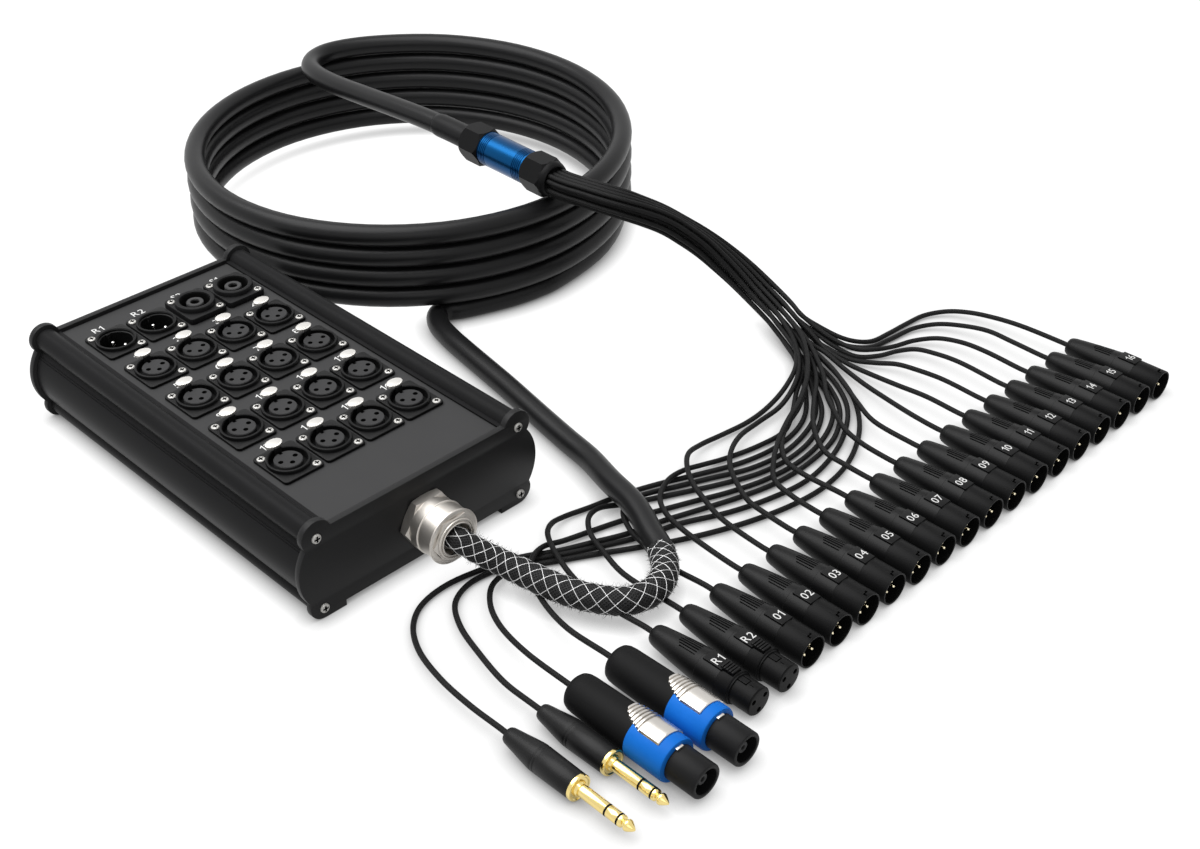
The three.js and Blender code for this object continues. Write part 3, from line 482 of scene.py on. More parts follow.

# The sock's braid runs from a near-black in its grooves, painted shade, to a lighter grey on its ridges, painted
# light.
sock_black = braided("sock_black", (0.005, 0.005, 0.005), (0.028, 0.028, 0.029), 0.6, 24, 500, 0.8)
sock_steel = grained("sock_steel", (0.74, 0.74, 0.74), 0.4, metallic=0.4, scale=3000, depth=0.05)
fibre_black = grained("fibre_black", (0.01, 0.01, 0.01), 0.8)

sock_line = smooth_line(sock_route, 12)
sock = laid_tube(
    "cable_sock_braid", sock_line, lambda s: (SOCK_RADIUS - gripped(s)) * MM, 28, sock_black
)


def select_only(*pieces):
    """These pieces selected and the first made active, or nothing selected."""
    bpy.ops.object.select_all(action="DESELECT")
    for piece in pieces:
        piece.select_set(True)
    if pieces:
        bpy.context.view_layer.objects.active = pieces[0]


def joined(name, pieces):
    """Several new pieces made one."""
    select_only(*pieces)
    bpy.ops.object.join()
    pieces[0].name = name
    return pieces[0]


sock_frames = frames_along(sock_line)
sock_length = sock_frames[-1][1]
wires = []
for direction in (1, -1):
    for strand in range(WIRES_EACH_WAY):
        turn = 2 * math.pi * (strand + 0.25 * direction) / WIRES_EACH_WAY
        line = []
        for i, (point, gone, _, side, other) in enumerate(sock_frames):
            share = gone / sock_length
            wound = gone / (DIAMOND_LENGTH * MM) + CLOSER_AT_GLAND * min(1, 4 * share)
            wound += CLOSER_AT_END * max(0, share - CLOSER_FROM)
            a = turn + direction * 2 * math.pi * wound / WIRES_EACH_WAY
            sunk = gripped(i / (len(sock_frames) - 1)) + SINKS_AT_END * max(0, share - SINKS_FROM)
            lift = (SOCK_RADIUS - sunk + WIRE_WEAVE + WIRE_WEAVE * math.sin(WIRES_EACH_WAY * a)) * MM
            line.append(point + lift * (math.cos(a) * side + math.sin(a) * other))
        wires.append(laid_tube("sock_wire", line, WIRE_RADIUS * MM, 5, sock_steel))
sock_wires = joined("cable_sock_wires", wires)

rng = random.Random(7)
corners, sides_of_fibres = [], []
for _ in range(FIBRES):
    share = 0.12 + 0.88 * rng.random() ** 0.8
    point, _, ahead, side, other = sock_frames[int(share * (len(sock_frames) - 1))]
    a = rng.uniform(0, 2 * math.pi)
    out = math.cos(a) * side + math.sin(a) * other
    lean = (out + ahead * rng.uniform(-0.9, 0.9)).normalized()
    root = point + out * (SOCK_RADIUS - FIBRE_RADIUS) * MM
    reach = rng.uniform(FIBRE_SHORTEST, FIBRE_LONGEST) * MM
    if (root + lean * reach).z < FLOOR_CLEARANCE * MM:
        continue
    across = lean.orthogonal().normalized()
    start = len(corners)
    for k in range(3):
        b = 2 * math.pi * k / 3
        foot = math.cos(b) * across + math.sin(b) * lean.cross(across)
        corners.append(root + FIBRE_RADIUS * MM * foot)
    corners.append(root + lean * reach)
    sides_of_fibres.append((start + 2, start + 1, start))
    for k in range(3):
        sides_of_fibres.append((start + k, start + (k + 1) % 3, start + 3))
mesh = bpy.data.meshes.new("cable_sock_fibres")
mesh.from_pydata(corners, [], sides_of_fibres)
mesh.materials.append(fibre_black)
sock_fibres = new_object("cable_sock_fibres", mesh)
for piece in (sock, sock_wires, sock_fibres):
    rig.ride(piece, "stage_box")
    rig.replaces(piece, "cable_sock")
    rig.slot(piece, "wire_sock")

# Heat shrink sleeve
# A short length of black heat shrink tube, shrunk over the end of the multicore where it goes
# into the breakout, with a thin edge at its rear.
SLEEVE_RADIUS, SLEEVE_EDGE = 8.1, 7.35
sleeve_black = grained("sleeve_black", (0.011, 0.011, 0.0115), 0.4, scale=1200, depth=0.15)
sleeve = laid_tube(
    "multicore_sleeve", smooth_line([(242, 133, 90.5), (242, 118, 90.6), (242, 94, 90.2)]),
    lambda s: (SLEEVE_EDGE + (SLEEVE_RADIUS - SLEEVE_EDGE) * min(1, s * 8)) * MM, 28, sleeve_black,
)
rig.ride(sleeve, "stage_box")
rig.replaces(sleeve, "multicore_end")
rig.slot(sleeve, "cable_jacket")

# Tails
# Twenty-two thin black cords, laid side by side out of the breakout, that part near the floor
# and run to their plugs. Each is one cord from the mouth of the breakout to its plug.
TAIL_RADIUS = 1.6
TAIL_PITCH = 3.6
TAIL_ROW = TAIL_PITCH * math.sqrt(3) / 2
TAIL_STRAIGHT = 7
INTO_LINE_PLUG, INTO_OTHER_PLUG = 12, 26
# The tails touch at the breakout and spread by this share, over these points of the bundle.
SPREAD, SPREAD_FROM, SPREAD_OVER = 0.36, 3, 5
SEND_X, SEND_PITCH, SENDS = 81.8, 22.69, 16
PLUG_REAR_Y, PLUG_AXIS_Z = -271, 9.5
RETURN_X = {"r1": 35.8, "r2": 58.5}
SPEAKER_X = {"1": -22.3, "2": 5.9}
SPEAKER_REAR_Y, SPEAKER_AXIS_Z = -273, 11.7
JACK_X = {"1": -63.2, "2": -41.2}
JACK_REAR_Y, JACK_AXIS_Z = -269, 7.3

bundle_route = [
    (242, 15, 88), (242, 8, 88), (243.1, 0.4, 87.9), (244.7, -8.2, 88), (248.9, -20.8, 87),
    (256.2, -32.4, 84), (266.9, -40.4, 77.9), (279.9, -46.2, 69.3), (291.9, -52.9, 59.1),
    (303.2, -60.3, 48.5), (311.5, -70.5, 38.3), (317.1, -83.1, 28.7), (319.4, -98.4, 20),
    (316.6, -118.4, 14), (313, -129, 12),
]
tail_routes = {
    "jack_1": ((-0.5, -2), [
        (301, -148, 2.6), (294, -165, 2), (285, -186, 2), (269, -207, 2), (244, -222.5, 2),
        (213, -228, 2), (185, -227, 2), (160, -221, 2), (136, -213, 2), (113, -205, 2), (91, -199, 2),
        (70, -190, 2), (52, -182, 2), (35, -172, 2), (14, -165, 2), (-10, -161, 2), (-29, -164, 2),
        (-42.4, -173.5, 2.6), (-53.3, -190.7, 4), (-60.6, -216.3, 6), (-63.4, -242.6, 7.3),
    ]),
    "jack_2": ((0.5, -2), [
        (307, -147, 2.6), (300, -165, 2), (291, -186, 2), (275, -208, 2), (252, -224, 2),
        (226, -234, 2), (198, -238, 2), (171, -234, 2), (145, -226, 2), (117, -213, 2), (94, -206, 2),
        (72, -196, 2), (54, -187, 2), (36, -177, 2), (16, -170, 2), (-1, -169, 2.1),
        (-15.5, -175.6, 2.7), (-26.4, -191.7, 4), (-34.8, -216.3, 5.9), (-40.9, -242.6, 7.3),
    ]),
    "speaker_1": ((1.5, -2), [
        (312, -148, 2.6), (306, -165, 2), (297, -186, 2), (283, -208, 2), (260, -229, 2),
        (230, -244, 2), (201, -249, 2), (176, -247, 2), (148, -240, 2), (124, -231, 2), (101, -220, 2),
        (82, -209, 2), (62, -197, 2), (46, -188, 2), (32, -180, 2), (19.9, -177.1, 3.1),
        (7.4, -179.7, 3.8), (-4.8, -191.1, 5.4), (-14.5, -209.1, 7.8), (-21.4, -236.3, 11.3),
    ]),
    "speaker_2": ((-1.5, -2), [
        (297, -147, 2.6), (290, -164, 2), (281, -185, 2), (265, -205, 2), (240, -218, 2),
        (212, -223, 2), (185, -221, 2), (160, -214, 2), (138, -205, 2), (118, -197, 2), (98, -189, 2),
        (78, -183, 2), (60, -179, 3), (46.9, -177.1, 5.5), (34.5, -181.5, 7.1), (23.4, -192.8, 7),
        (13.9, -211.5, 7.8), (5.9, -238.4, 11),
    ]),
    "return_r1": ((-2, -1), [
        (295, -147, 5.6), (283, -165, 2.2), (268, -181, 2), (250, -195, 2), (232, -202, 2),
        (210, -204, 2), (186, -200, 2), (160, -190, 2), (137, -180, 2), (114, -172, 2), (92, -167, 2),
        (76, -164, 3), (64, -166, 6), (53.9, -173.1, 8.7), (46.7, -185.4, 8.4), (39.7, -205.4, 7.3),
        (34.2, -230.3, 8.5), (34.7, -251.4, 9.5),
    ]),
    "return_r2": ((-1, -1), [
        (299, -147, 6.2), (287, -165, 4), (275, -184, 2), (259, -201, 2), (236, -213, 2),
        (210, -217, 2), (185, -214, 2), (161, -205, 2), (140, -195, 2), (122, -186, 2),
        (106, -178, 2.5), (92.9, -174.1, 5.1), (81.7, -177.3, 6.8), (72.1, -187.9, 7),
        (64.8, -206.2, 7.6), (58.9, -226.8, 8.3),
    ]),
    "send_01": ((-1.5, 0), [
        (298, -147, 9.6), (285, -165, 6.6), (271, -184, 4.5), (255, -199, 2), (232, -208, 2),
        (208, -211, 2), (184, -207, 2), (161, -197, 2), (140, -188, 2), (123.9, -183.1, 3.7),
        (109.6, -182.4, 6.4), (98.3, -187.7, 7.3), (89.2, -201.7, 7.6), (84.5, -216.7, 8.3),
        (80.2, -233.1, 8.8),
    ]),
    "send_02": ((-2, 1), [
        (296, -148, 9.5), (283, -165.5, 6.2), (262, -178, 4.8), (245, -189, 3), (228, -197, 2),
        (206, -196, 2), (181, -190, 2), (165, -186, 3.6), (153, -184, 5.4), (140.7, -184.3, 6.3),
        (129.2, -188.7, 6.8), (119.6, -196.2, 7.4), (112.7, -208.1, 7.9), (108.2, -224.8, 8.9),
        (105.4, -247.4, 9.5),
    ]),
    "send_03": ((-1.5, 2), [
        (298, -146, 12.5), (283, -160.5, 8.6), (261.5, -170, 6), (239, -175, 4), (219, -176, 3),
        (199, -174, 3), (180, -173, 4.5), (163.9, -177.1, 8.1), (152, -187, 9.4), (143.3, -199.6, 8.7),
        (137.3, -213.5, 8.7), (130.5, -231.9, 9.3),
    ]),
    "send_04": ((-1, 1), [
        (298, -146, 12.5), (284, -162, 9.5), (265, -174, 7.6), (243, -181, 5.2), (221, -182, 4.5),
        (201.8, -184.2, 5.2), (185, -191.8, 6.5), (172, -202.6, 7.4), (162, -216.4, 8.3),
        (153.1, -233, 9.2), (150.8, -249, 9.5),
    ]),
    "send_05": ((-0.5, 2), [
        (303, -147, 15.5), (291, -162, 13), (273, -177, 11), (251, -189, 9), (230.9, -197, 9.1),
        (212.4, -205.5, 8.5), (193.1, -217.5, 8.7), (178.1, -231.2, 9.2), (173.8, -247, 9.5),
    ]),
    "send_06": ((-0.5, 0), [
        (301, -149, 12), (289, -164, 10.2), (271, -178, 7.8), (249.9, -190.1, 6.1), (226.7, -199, 6.7),
        (209.4, -210, 7.8), (198.1, -222.7, 8.7), (194.6, -237.1, 9.3),
    ]),
    "send_07": ((0, -1), [
        (304, -148, 8.8), (294, -164, 7.8), (280, -179, 7.2), (261.3, -192.5, 6.6),
        (242.7, -206.7, 7.5), (229.1, -220.5, 8.5), (220, -235, 9.3), (218.5, -249.7, 9.5),
    ]),
    "send_08": ((0, 1), [
        (307, -147, 12.4), (298, -163, 10), (286.8, -179.1, 7.2), (271.5, -194.1, 6.7),
        (258.1, -211.1, 8), (247.1, -227.8, 8.9), (242.2, -243.7, 9.5),
    ]),
    "send_09": ((0.5, 0), [
        (308, -146, 8), (304, -162, 6), (297.5, -178.4, 6.2), (287.2, -196.3, 7.1),
        (276.8, -213.2, 8.2), (265.9, -234.4, 9.2),
    ]),
    "send_10": ((1, -1), [
        (312, -147, 6), (309.9, -162.1, 5.7), (305.5, -181.1, 4.2), (298.4, -203.1, 5.6),
        (292.1, -224.9, 7.9), (287.2, -247.5, 9.5),
    ]),
    "send_11": ((0.5, 2), [
        (315, -146, 11), (312.9, -160.1, 6.1), (311.5, -179, 4.2), (310.7, -198.9, 5.3),
        (309.7, -220.7, 7.6), (309.6, -241.5, 9.4),
    ]),
    "send_12": ((1.5, 0), [
        (316, -146, 7), (317, -160, 4), (319, -177.7, 2.8), (325.1, -191.9, 4.2), (331.1, -203.2, 5.7),
        (332.8, -218.5, 7.4), (332.8, -237.2, 9.2),
    ]),
    "send_13": ((1, 1), [
        (320, -146, 8.8), (321, -160, 5), (325, -176, 2), (335.1, -186.6, 2.7), (346.3, -192.8, 4),
        (354.4, -200.9, 5.4), (357.2, -214.2, 6.9), (356.9, -232, 8.9),
    ]),
    "send_14": ((1.5, 2), [
        (321, -146, 12), (323, -160, 8), (327, -174, 5.8), (336, -183, 5.6), (350.6, -187.3, 3.3),
        (364.6, -192.5, 3.7), (375.1, -203, 5.5), (379.5, -218.5, 7.4), (378.8, -237.2, 9.2),
    ]),
    "send_15": ((2, -1), [
        (323, -145, 6), (328, -158, 3), (333, -168, 2), (341, -176, 2), (358, -179, 2),
        (379.2, -182.5, 2.6), (392, -191.8, 4.1), (399.2, -206.4, 6), (402.4, -223.2, 8.1),
        (400.5, -242.3, 9.4),
    ]),
    "send_16": ((2, 1), [
        (326, -146, 10), (331, -159, 6), (337, -167, 4), (347, -172, 2), (363, -174, 2), (381, -175, 2),
        (397.6, -177.3, 2.3), (410.7, -186.4, 3.6), (417.3, -198.8, 5.2), (420.5, -215.3, 7.1),
        (421.5, -234.8, 9),
    ]),
}
tail_ends = {
    f"send_{n + 1:02}": (SEND_X + n * SEND_PITCH, PLUG_REAR_Y, PLUG_AXIS_Z) for n in range(SENDS)
}
for kind, across, rear, height in (
    ("return", RETURN_X, PLUG_REAR_Y, PLUG_AXIS_Z),
    ("speaker", SPEAKER_X, SPEAKER_REAR_Y, SPEAKER_AXIS_Z),
    ("jack", JACK_X, JACK_REAR_Y, JACK_AXIS_Z),
):
    tail_ends |= {f"{kind}_{name}": (x, rear, height) for name, x in across.items()}

# The tails' braid runs from a near-black in its grooves, painted shade, to a lighter grey on its ridges, painted
# light.
tail_black = braided("tail_black", (0.003, 0.003, 0.003), (0.009, 0.009, 0.0093), 0.55, 8, 560, 0.5)
bundle_stations = []
for i, point in enumerate(bundle_route):
    before, after = bundle_route[max(i - 1, 0)], bundle_route[min(i + 1, len(bundle_route) - 1)]
    ahead = (Vector(after) - Vector(before)).normalized()
    across = Vector((0, 0, 1)).cross(ahead).normalized()
    pitch = TAIL_PITCH * (1 + SPREAD * min(1, max(0, i - SPREAD_FROM) / SPREAD_OVER))
    bundle_stations.append((Vector(point), pitch * across, TAIL_ROW * ahead.cross(across)))

tails = {}
for name, ((column, row), points) in tail_routes.items():
    strand = [p + column * a + row * u for p, a, u in bundle_stations]
    x, rear, z = tail_ends[name]
    inside = INTO_LINE_PLUG if rear == PLUG_REAR_Y else INTO_OTHER_PLUG
    plug_end = [(x, rear + TAIL_STRAIGHT, z), (x, rear, z), (x, rear - inside, z)]
    line = smooth_line([*strand, *points, *plug_end])
    tail = laid_tube(f"tail_{name}", line, TAIL_RADIUS * MM, 10, tail_black)
    tails[name] = (tail, line)
    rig.ride(tail, "stage_box")
    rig.replaces(tail, "tail_loom")
    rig.slot(tail, "tails")

# Case
# One aluminium extrusion, black anodised: a floor on two runners, hollow bulged sides with fine
# double lines along them, and round rails at the top with ledges that hold the panel.
BOX_HALF = 134.2
PLATE_THICK = 4
PLATE_PROUD = 2.5
PLATE_TOP = 56.8
# The circles that the outline follows, each with its middle in X and Z and its radius.
EAR = (68.6, 53.6, 9.5)
HEEL = (69.15, 8.5, 8.4)
BULGE = (51.9, 29.7, 30.3)
FOOT_FROM, FOOT_TO, FOOT_HEIGHT = 55, 69, 3.5
RAIL_TOP = 55.5
END_GAP = 0.3
CASE_HALF = BOX_HALF - PLATE_THICK - END_GAP
MERGED_WITHIN = 0.004


def lower_meeting(first, second):
    """Where two circles cross, on the side away from the middle of the box."""
    (x0, z0, r0), (x1, z1, r1) = first, second
    apart = math.hypot(x1 - x0, z1 - z0)
    along = (r0 * r0 - r1 * r1 + apart * apart) / (2 * apart)
    off = math.sqrt(r0 * r0 - along * along)
    ux, uz = (x1 - x0) / apart, (z1 - z0) / apart
    return max(
        (x0 + along * ux + side * off * uz, z0 + along * uz - side * off * ux) for side in (1, -1)
    )


def arc(circle, start, end, steps):
    """Points on a circle from one point to another, the short way clockwise or back."""
    x, z, radius = circle
    a = math.atan2(start[1] - z, start[0] - x)
    b = math.atan2(end[1] - z, end[0] - x)
    while b > a:
        b -= 2 * math.pi
    turns = [a + (b - a) * k / steps for k in range(steps + 1)]
    return [(x + radius * math.cos(turn), z + radius * math.sin(turn)) for turn in turns]


def side_outline(inset, top, lines=()):
    """The right-hand side of the box's outline from its top edge down to its foot, in X and Z."""
    ear, heel, bulge = [(x, z, radius - inset) for x, z, radius in (EAR, HEEL, BULGE)]
    start = (ear[0] - math.sqrt(ear[2] ** 2 - (top - ear[1]) ** 2), top)
    upper, lower = lower_meeting(bulge, ear), lower_meeting(bulge, heel)
    heel_end = (heel[0], heel[1] - heel[2])
    sweep = arc(bulge, upper, lower, 40)

    def around(point):
        return math.atan2(point[1] - bulge[1], point[0] - bulge[0])

    for angle, width, depth in lines:
        a = math.radians(angle)
        notch = []
        for turn, sunk in ((width, 0), (width / 2, depth), (-width / 2, depth), (-width, 0)):
            b = a + turn / bulge[2]
            reach = bulge[2] - sunk
            notch.append((bulge[0] + reach * math.cos(b), bulge[1] + reach * math.sin(b)))
        sweep = [p for p in sweep if abs(around(p) - a) * bulge[2] > width + 0.1]
        sweep = sorted(sweep + notch, key=lambda p: -around(p))
    foot = [(FOOT_TO, 0), (FOOT_FROM, 0), (FOOT_FROM, FOOT_HEIGHT)]
    return arc(ear, start, upper, 20) + sweep[1:-1] + arc(heel, lower, heel_end, 12) + foot


def flat_curve(name, outline):
    """A closed outline in millimetres as a filled flat curve."""
    curve = bpy.data.curves.new(name, "CURVE")
    curve.dimensions = "2D"
    curve.fill_mode = "BOTH"
    spline = curve.splines.new("POLY")
    spline.points.add(len(outline) - 1)
    for spot, (x, y) in zip(spline.points, outline):
        spot.co = (x * MM, y * MM, 0, 1)
    spline.use_cyclic_u = True
    return curve


def curve_to_mesh(name, curve):
    """A curve or a letter made a mesh, as an object of its own."""
    select_only(new_object(name, curve))
    bpy.ops.object.convert(target="MESH")
    return bpy.context.object


def settled(piece, name, material):
    """A new piece gets its name and its only material, with its place and size put in its mesh."""
    piece.name = name
    bpy.ops.object.transform_apply()
    piece.data.materials.clear()
    piece.data.materials.append(material)
    return piece


def extruded(name, outline, y0, y1, material, edge=0.0):
    """A flat outline in X and Z given depth along Y, with its edges softened."""
    curve = flat_curve(name, outline)
    curve.extrude = abs(y1 - y0) / 2 * MM - edge * MM
    curve.bevel_depth = edge * MM
    curve.offset = -edge * MM
    curve.bevel_resolution = 1
    piece = curve_to_mesh(name, curve)
    piece.rotation_euler = (math.pi / 2, 0, 0)
    piece.location = (0, (y0 + y1) / 2 * MM, 0)
    return tidied(settled(piece, name, material), 28)


def tidied(piece, angle=32):
    """Doubles merged, faces turned outward and shading smoothed up to an angle."""
    select_only(piece)
    bpy.ops.object.mode_set(mode="EDIT")
    bpy.ops.mesh.select_all(action="SELECT")
    bpy.ops.mesh.remove_doubles(threshold=MERGED_WITHIN * MM)
    bpy.ops.mesh.normals_make_consistent(inside=False)
    bpy.ops.object.mode_set(mode="OBJECT")
    bpy.ops.object.shade_smooth_by_angle(angle=math.radians(angle))
    return piece


case_black = grained("case_black", (0.0145, 0.0145, 0.015), 0.34, scale=2600, swing=0.06, shine=0.03)
plate_black = grained(
    "plate_black", (0.019, 0.019, 0.0195), 0.42, scale=2600, depth=0.12, swing=0.08, shine=0.12
)

# Each line on the sides: its angle, half its width and its depth.
case_lines = [(angle, 0.42, 0.45) for angle in (33.4, 30.4, -29.2, -32.2)]
ledges = [
    (57, 5.7), (57, 8), (70, 8), (70, 46), (57, 46), (57, 51.4), (61, 51.4), (61, 54.5), (59.2, 54.5),
    (59.2, RAIL_TOP),
]
case_half = ledges + side_outline(PLATE_PROUD, RAIL_TOP, case_lines)


def both_sides(half):
    """The right half of an outline and its mirror image, as one closed outline."""
    return half + [(-x, z) for x, z in reversed(half)]


case_shell = extruded("case_extrusion", both_sides(case_half), -CASE_HALF, CASE_HALF, case_black)
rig.ride(case_shell, "stage_box")
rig.replaces(case_shell, "case_body")
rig.slot(case_shell, "case")

# End plates
# Two flat aluminium plates, 4 mm thick, with softened edges, that close the extrusion. Each is
# held by four cross-head screws, two in the rails and two in the heels.
plate_outline = both_sides(side_outline(0, PLATE_TOP))
for name, y in (("front", -BOX_HALF), ("rear", BOX_HALF - PLATE_THICK)):
    plate = extruded(f"{name}_plate", plate_outline, y, y + PLATE_THICK, plate_black, edge=0.35)
    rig.ride(plate, "stage_box")
    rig.replaces(plate, f"{name}_end_plate")
    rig.slot(plate, "end_plates")


def turned_up(name, profile, sides, material):
    """A solid turned about Z: a disc, then one extrude and one resize for each [radius, height]."""
    select_only()
    radius, height = profile[0]
    bpy.ops.mesh.primitive_circle_add(
        vertices=sides, radius=radius * MM, fill_type="NGON", location=(0, 0, height * MM)
    )
    piece = settled(bpy.context.object, name, material)
    bpy.ops.object.mode_set(mode="EDIT")
    bpy.ops.mesh.select_all(action="SELECT")
    for new_radius, new_height in profile[1:]:
        rise = (new_height - height) * MM
        bpy.ops.mesh.extrude_region_move(TRANSFORM_OT_translate={"value": (0, 0, rise)})
        share = new_radius / radius
        if abs(share - 1) > 1e-6:
            bpy.ops.transform.resize(value=(share, share, 1), center_override=(0, 0, new_height * MM))
        radius, height = new_radius, new_height
    bpy.ops.object.mode_set(mode="OBJECT")
    return tidied(piece)


def softened(piece, width):
    """The sharp edges of a piece rounded by a bevel modifier that is then applied."""
    select_only(piece)
    bevel = piece.modifiers.new("soft_edges", "BEVEL")
    bevel.width = width * MM
    bevel.segments = 2
    bevel.limit_method = "ANGLE"
    bevel.angle_limit = math.radians(30)
    bpy.ops.object.modifier_apply(modifier=bevel.name)
    bpy.ops.object.shade_smooth_by_angle(angle=math.radians(40))
    return piece


def carved(piece, tools, operation="DIFFERENCE"):
    """Cuts the tools out of a piece, or joins them to it, and removes them."""
    for tool in tools:
        select_only(piece)
        cut = piece.modifiers.new("cut", "BOOLEAN")
        cut.operation = operation
        cut.object = tool
        cut.solver = "EXACT"
        cut.material_mode = "TRANSFER"
        bpy.ops.object.modifier_apply(modifier=cut.name)
        bpy.data.objects.remove(tool)
    return piece


def bar(name, low, high, material, turn=(0, 0, 0), edge=0.0):
    """A bar between two corners, turned about its own middle, with softened edges."""
    select_only()
    bpy.ops.mesh.primitive_cube_add(size=1, location=[(a + b) / 2 * MM for a, b in zip(low, high)])
    piece = bpy.context.object
    piece.scale = [(b - a) * MM for a, b in zip(low, high)]
    piece.rotation_euler = [math.radians(angle) for angle in turn]
    settled(piece, name, material)
    if edge:
        softened(piece, edge)
    return piece


def moved(piece, x, y, z):
    """A piece's mesh moved, in millimetres, with its object left at the origin."""
    piece.data.transform(Matrix.Translation(Vector((x, y, z)) * MM))
    return piece


def placed_copy(piece, name, offset, turn=None):
    """A copy with a mesh of its own, turned and then moved to its place."""
    twin = piece.copy()
    twin.data = piece.data.copy()
    twin.name = name
    if turn is not None:
        twin.data.transform(turn)
    moved(twin, *offset)
    bpy.context.scene.collection.objects.link(twin)
    return twin


def cross_screw(name, radius, rise, material):
    """A pan head with a sunk cross, standing on z = 0."""
    crown = [(1, 0), (1, 0.5), (0.92, 0.82), (0.8, 1), (0.3, 1)]
    head = turned_up(name, [(radius * r, rise * z) for r, z in crown], 20, material)
    long, wide = radius * 0.64, radius * 0.2
    # The cross is cut with the near-black, so its walls and floor are painted shade.
    slots = [
        bar("slot", (-long, -wide, rise * 0.2), (long, wide, 2 * rise), near_black_and_hole_shade),
        bar("slot", (-wide, -long, rise * 0.19), (wide, long, 2 * rise), near_black_and_hole_shade),
    ]
    return tidied(carved(head, slots), 35)


# A near-black: the own colour of the jacks' insulating bands and the plugs' inserts, and painted shade in the gland's
# mouth and on the walls and floors of the holes, slots and channels cut or lined with it.
near_black_and_hole_shade = grained("near_black_and_hole_shade", (0.003, 0.003, 0.003), 0.7, scale=1500)
screw_nickel = grained("screw_nickel", (0.56, 0.55, 0.525), 0.42, metallic=0.3, scale=4000, depth=0.06)
plate_screw = cross_screw("plate_screw", 2.8, 1.2, screw_nickel)
forward, backward = Matrix.Rotation(math.pi / 2, 4, "X"), Matrix.Rotation(-math.pi / 2, 4, "X")
screw_places = [(-69.15, 52.8), (69.15, 52.8), (-69.15, 6.7), (69.15, 6.7)]
for name, y, turn in (("front", -BOX_HALF, forward), ("rear", BOX_HALF, backward)):
    for corner, (x, z) in enumerate(screw_places, start=1):
        screw = placed_copy(plate_screw, f"{name}_plate_screw_{corner}", (x, y, z), turn)
        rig.ride(screw, "stage_box")
bpy.data.objects.remove(plate_screw)

# Top panel
# A flat sheet, anodised a lighter grey than the case, that slides into the ledges under the
# rails. The numbers beside its sockets are printed in white.
PANEL_TOP = 54.2
COLUMNS = (-41.67, -13.89, 13.89, 41.67)
ROWS = (53.6, 11.0, -31.6, -74.2)
REAR_ROW = 96.2
LABEL_BEHIND = 21.3
LABEL_HEIGHT, LABEL_THICK = 5.4, 0.06
LETTER_GAP, CAPITAL_SHARE = 0.15, 0.73

panel_grey = grained("panel_grey", (0.043, 0.043, 0.0438), 0.55, scale=2600, depth=0.15)
panel = frame["nodes"]["top_panel"]
if not panel.data.materials:
    panel.data.materials.append(panel_grey)
for material_slot in panel.material_slots:
    material_slot.material = panel_grey

# A plain figure 1 of height 1.
ONE = [
    (0.36, 0), (0.36, 1), (0.28, 1), (0.2, 0.88), (0.1, 0.8), (0, 0.75), (0, 0.63), (0.12, 0.68),
    (0.235, 0.77), (0.235, 0),
]


def printed(name, words, centre, height, material):
    """Figures and letters laid flat, facing up, side by side with their middle at a point."""
    characters = []
    along = 0.0
    for character in words:
        if character == "1":
            curve = flat_curve(name, [(x * height, y * height) for x, y in ONE])
        else:
            curve = bpy.data.curves.new(name, "FONT")
            curve.body = character
            curve.size = height / CAPITAL_SHARE * MM
            curve.resolution_u = 3
        curve.extrude = LABEL_THICK / 2 * MM
        piece = curve_to_mesh(name, curve)
        left = min(v.co.x for v in piece.data.vertices)
        right = max(v.co.x for v in piece.data.vertices)
        piece.data.transform(Matrix.Translation((along - left, 0, 0)))
        along += right - left + LETTER_GAP * height * MM
        characters.append(piece)
    piece = joined(name, characters)
    low = [min(v.co[i] for v in piece.data.vertices) for i in range(3)]
    high = [max(v.co[i] for v in piece.data.vertices) for i in range(3)]
    piece.data.transform(Matrix.Translation([-(a + b) / 2 for a, b in zip(low, high)]))
    moved(piece, *centre)
    piece.data.materials.clear()
    piece.data.materials.append(material)
    return tidied(piece, 20)


print_white = grained("print_white", (0.8, 0.8, 0.79), 0.6, scale=1500, depth=0.05)
labels = [(words, x, REAR_ROW) for words, x in zip(("R1", "R2", "S2", "S1"), COLUMNS)]
labels += [(str(4 * r + c + 1), x, y) for r, y in enumerate(ROWS) for c, x in enumerate(COLUMNS)]
for words, x, y in labels:
    spot = (x, y + LABEL_BEHIND, PANEL_TOP + LABEL_THICK / 2)
    label = printed(f"panel_label_{words.lower()}", words, spot, LABEL_HEIGHT, print_white)
    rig.ride(label, "stage_box")

# Send sockets
# Sixteen female three-pin sockets: a black die-cast shell with a flange, a raised ring, a
# round insert with three contact holes, and two bright cross-head screws through the flange.
flange_black = grained(
    "flange_black", (0.006, 0.006, 0.0062), 0.36, scale=2400, depth=0.12, shine=0.11
)
insert_black = grained("insert_black", (0.04, 0.04, 0.041), 0.55, scale=1800, depth=0.15)
socket_screw = cross_screw("socket_screw", 2.35, 0.85, screw_nickel)
FLANGE_TOP = 56.0
SCREWS_FROM_MIDDLE = {"left": (-9.8, 11.2), "right": (9.4, -12.6)}
# The wall of a three-pin shell and its ring, up to the top of the ring.
SHELL_WALL = [
    (11.3, 31.7), (12, 32.3), (12, 54.4), (12.25, 54.6), (12.25, 57.3), (11.95, 57.85), (11.4, 58),
]


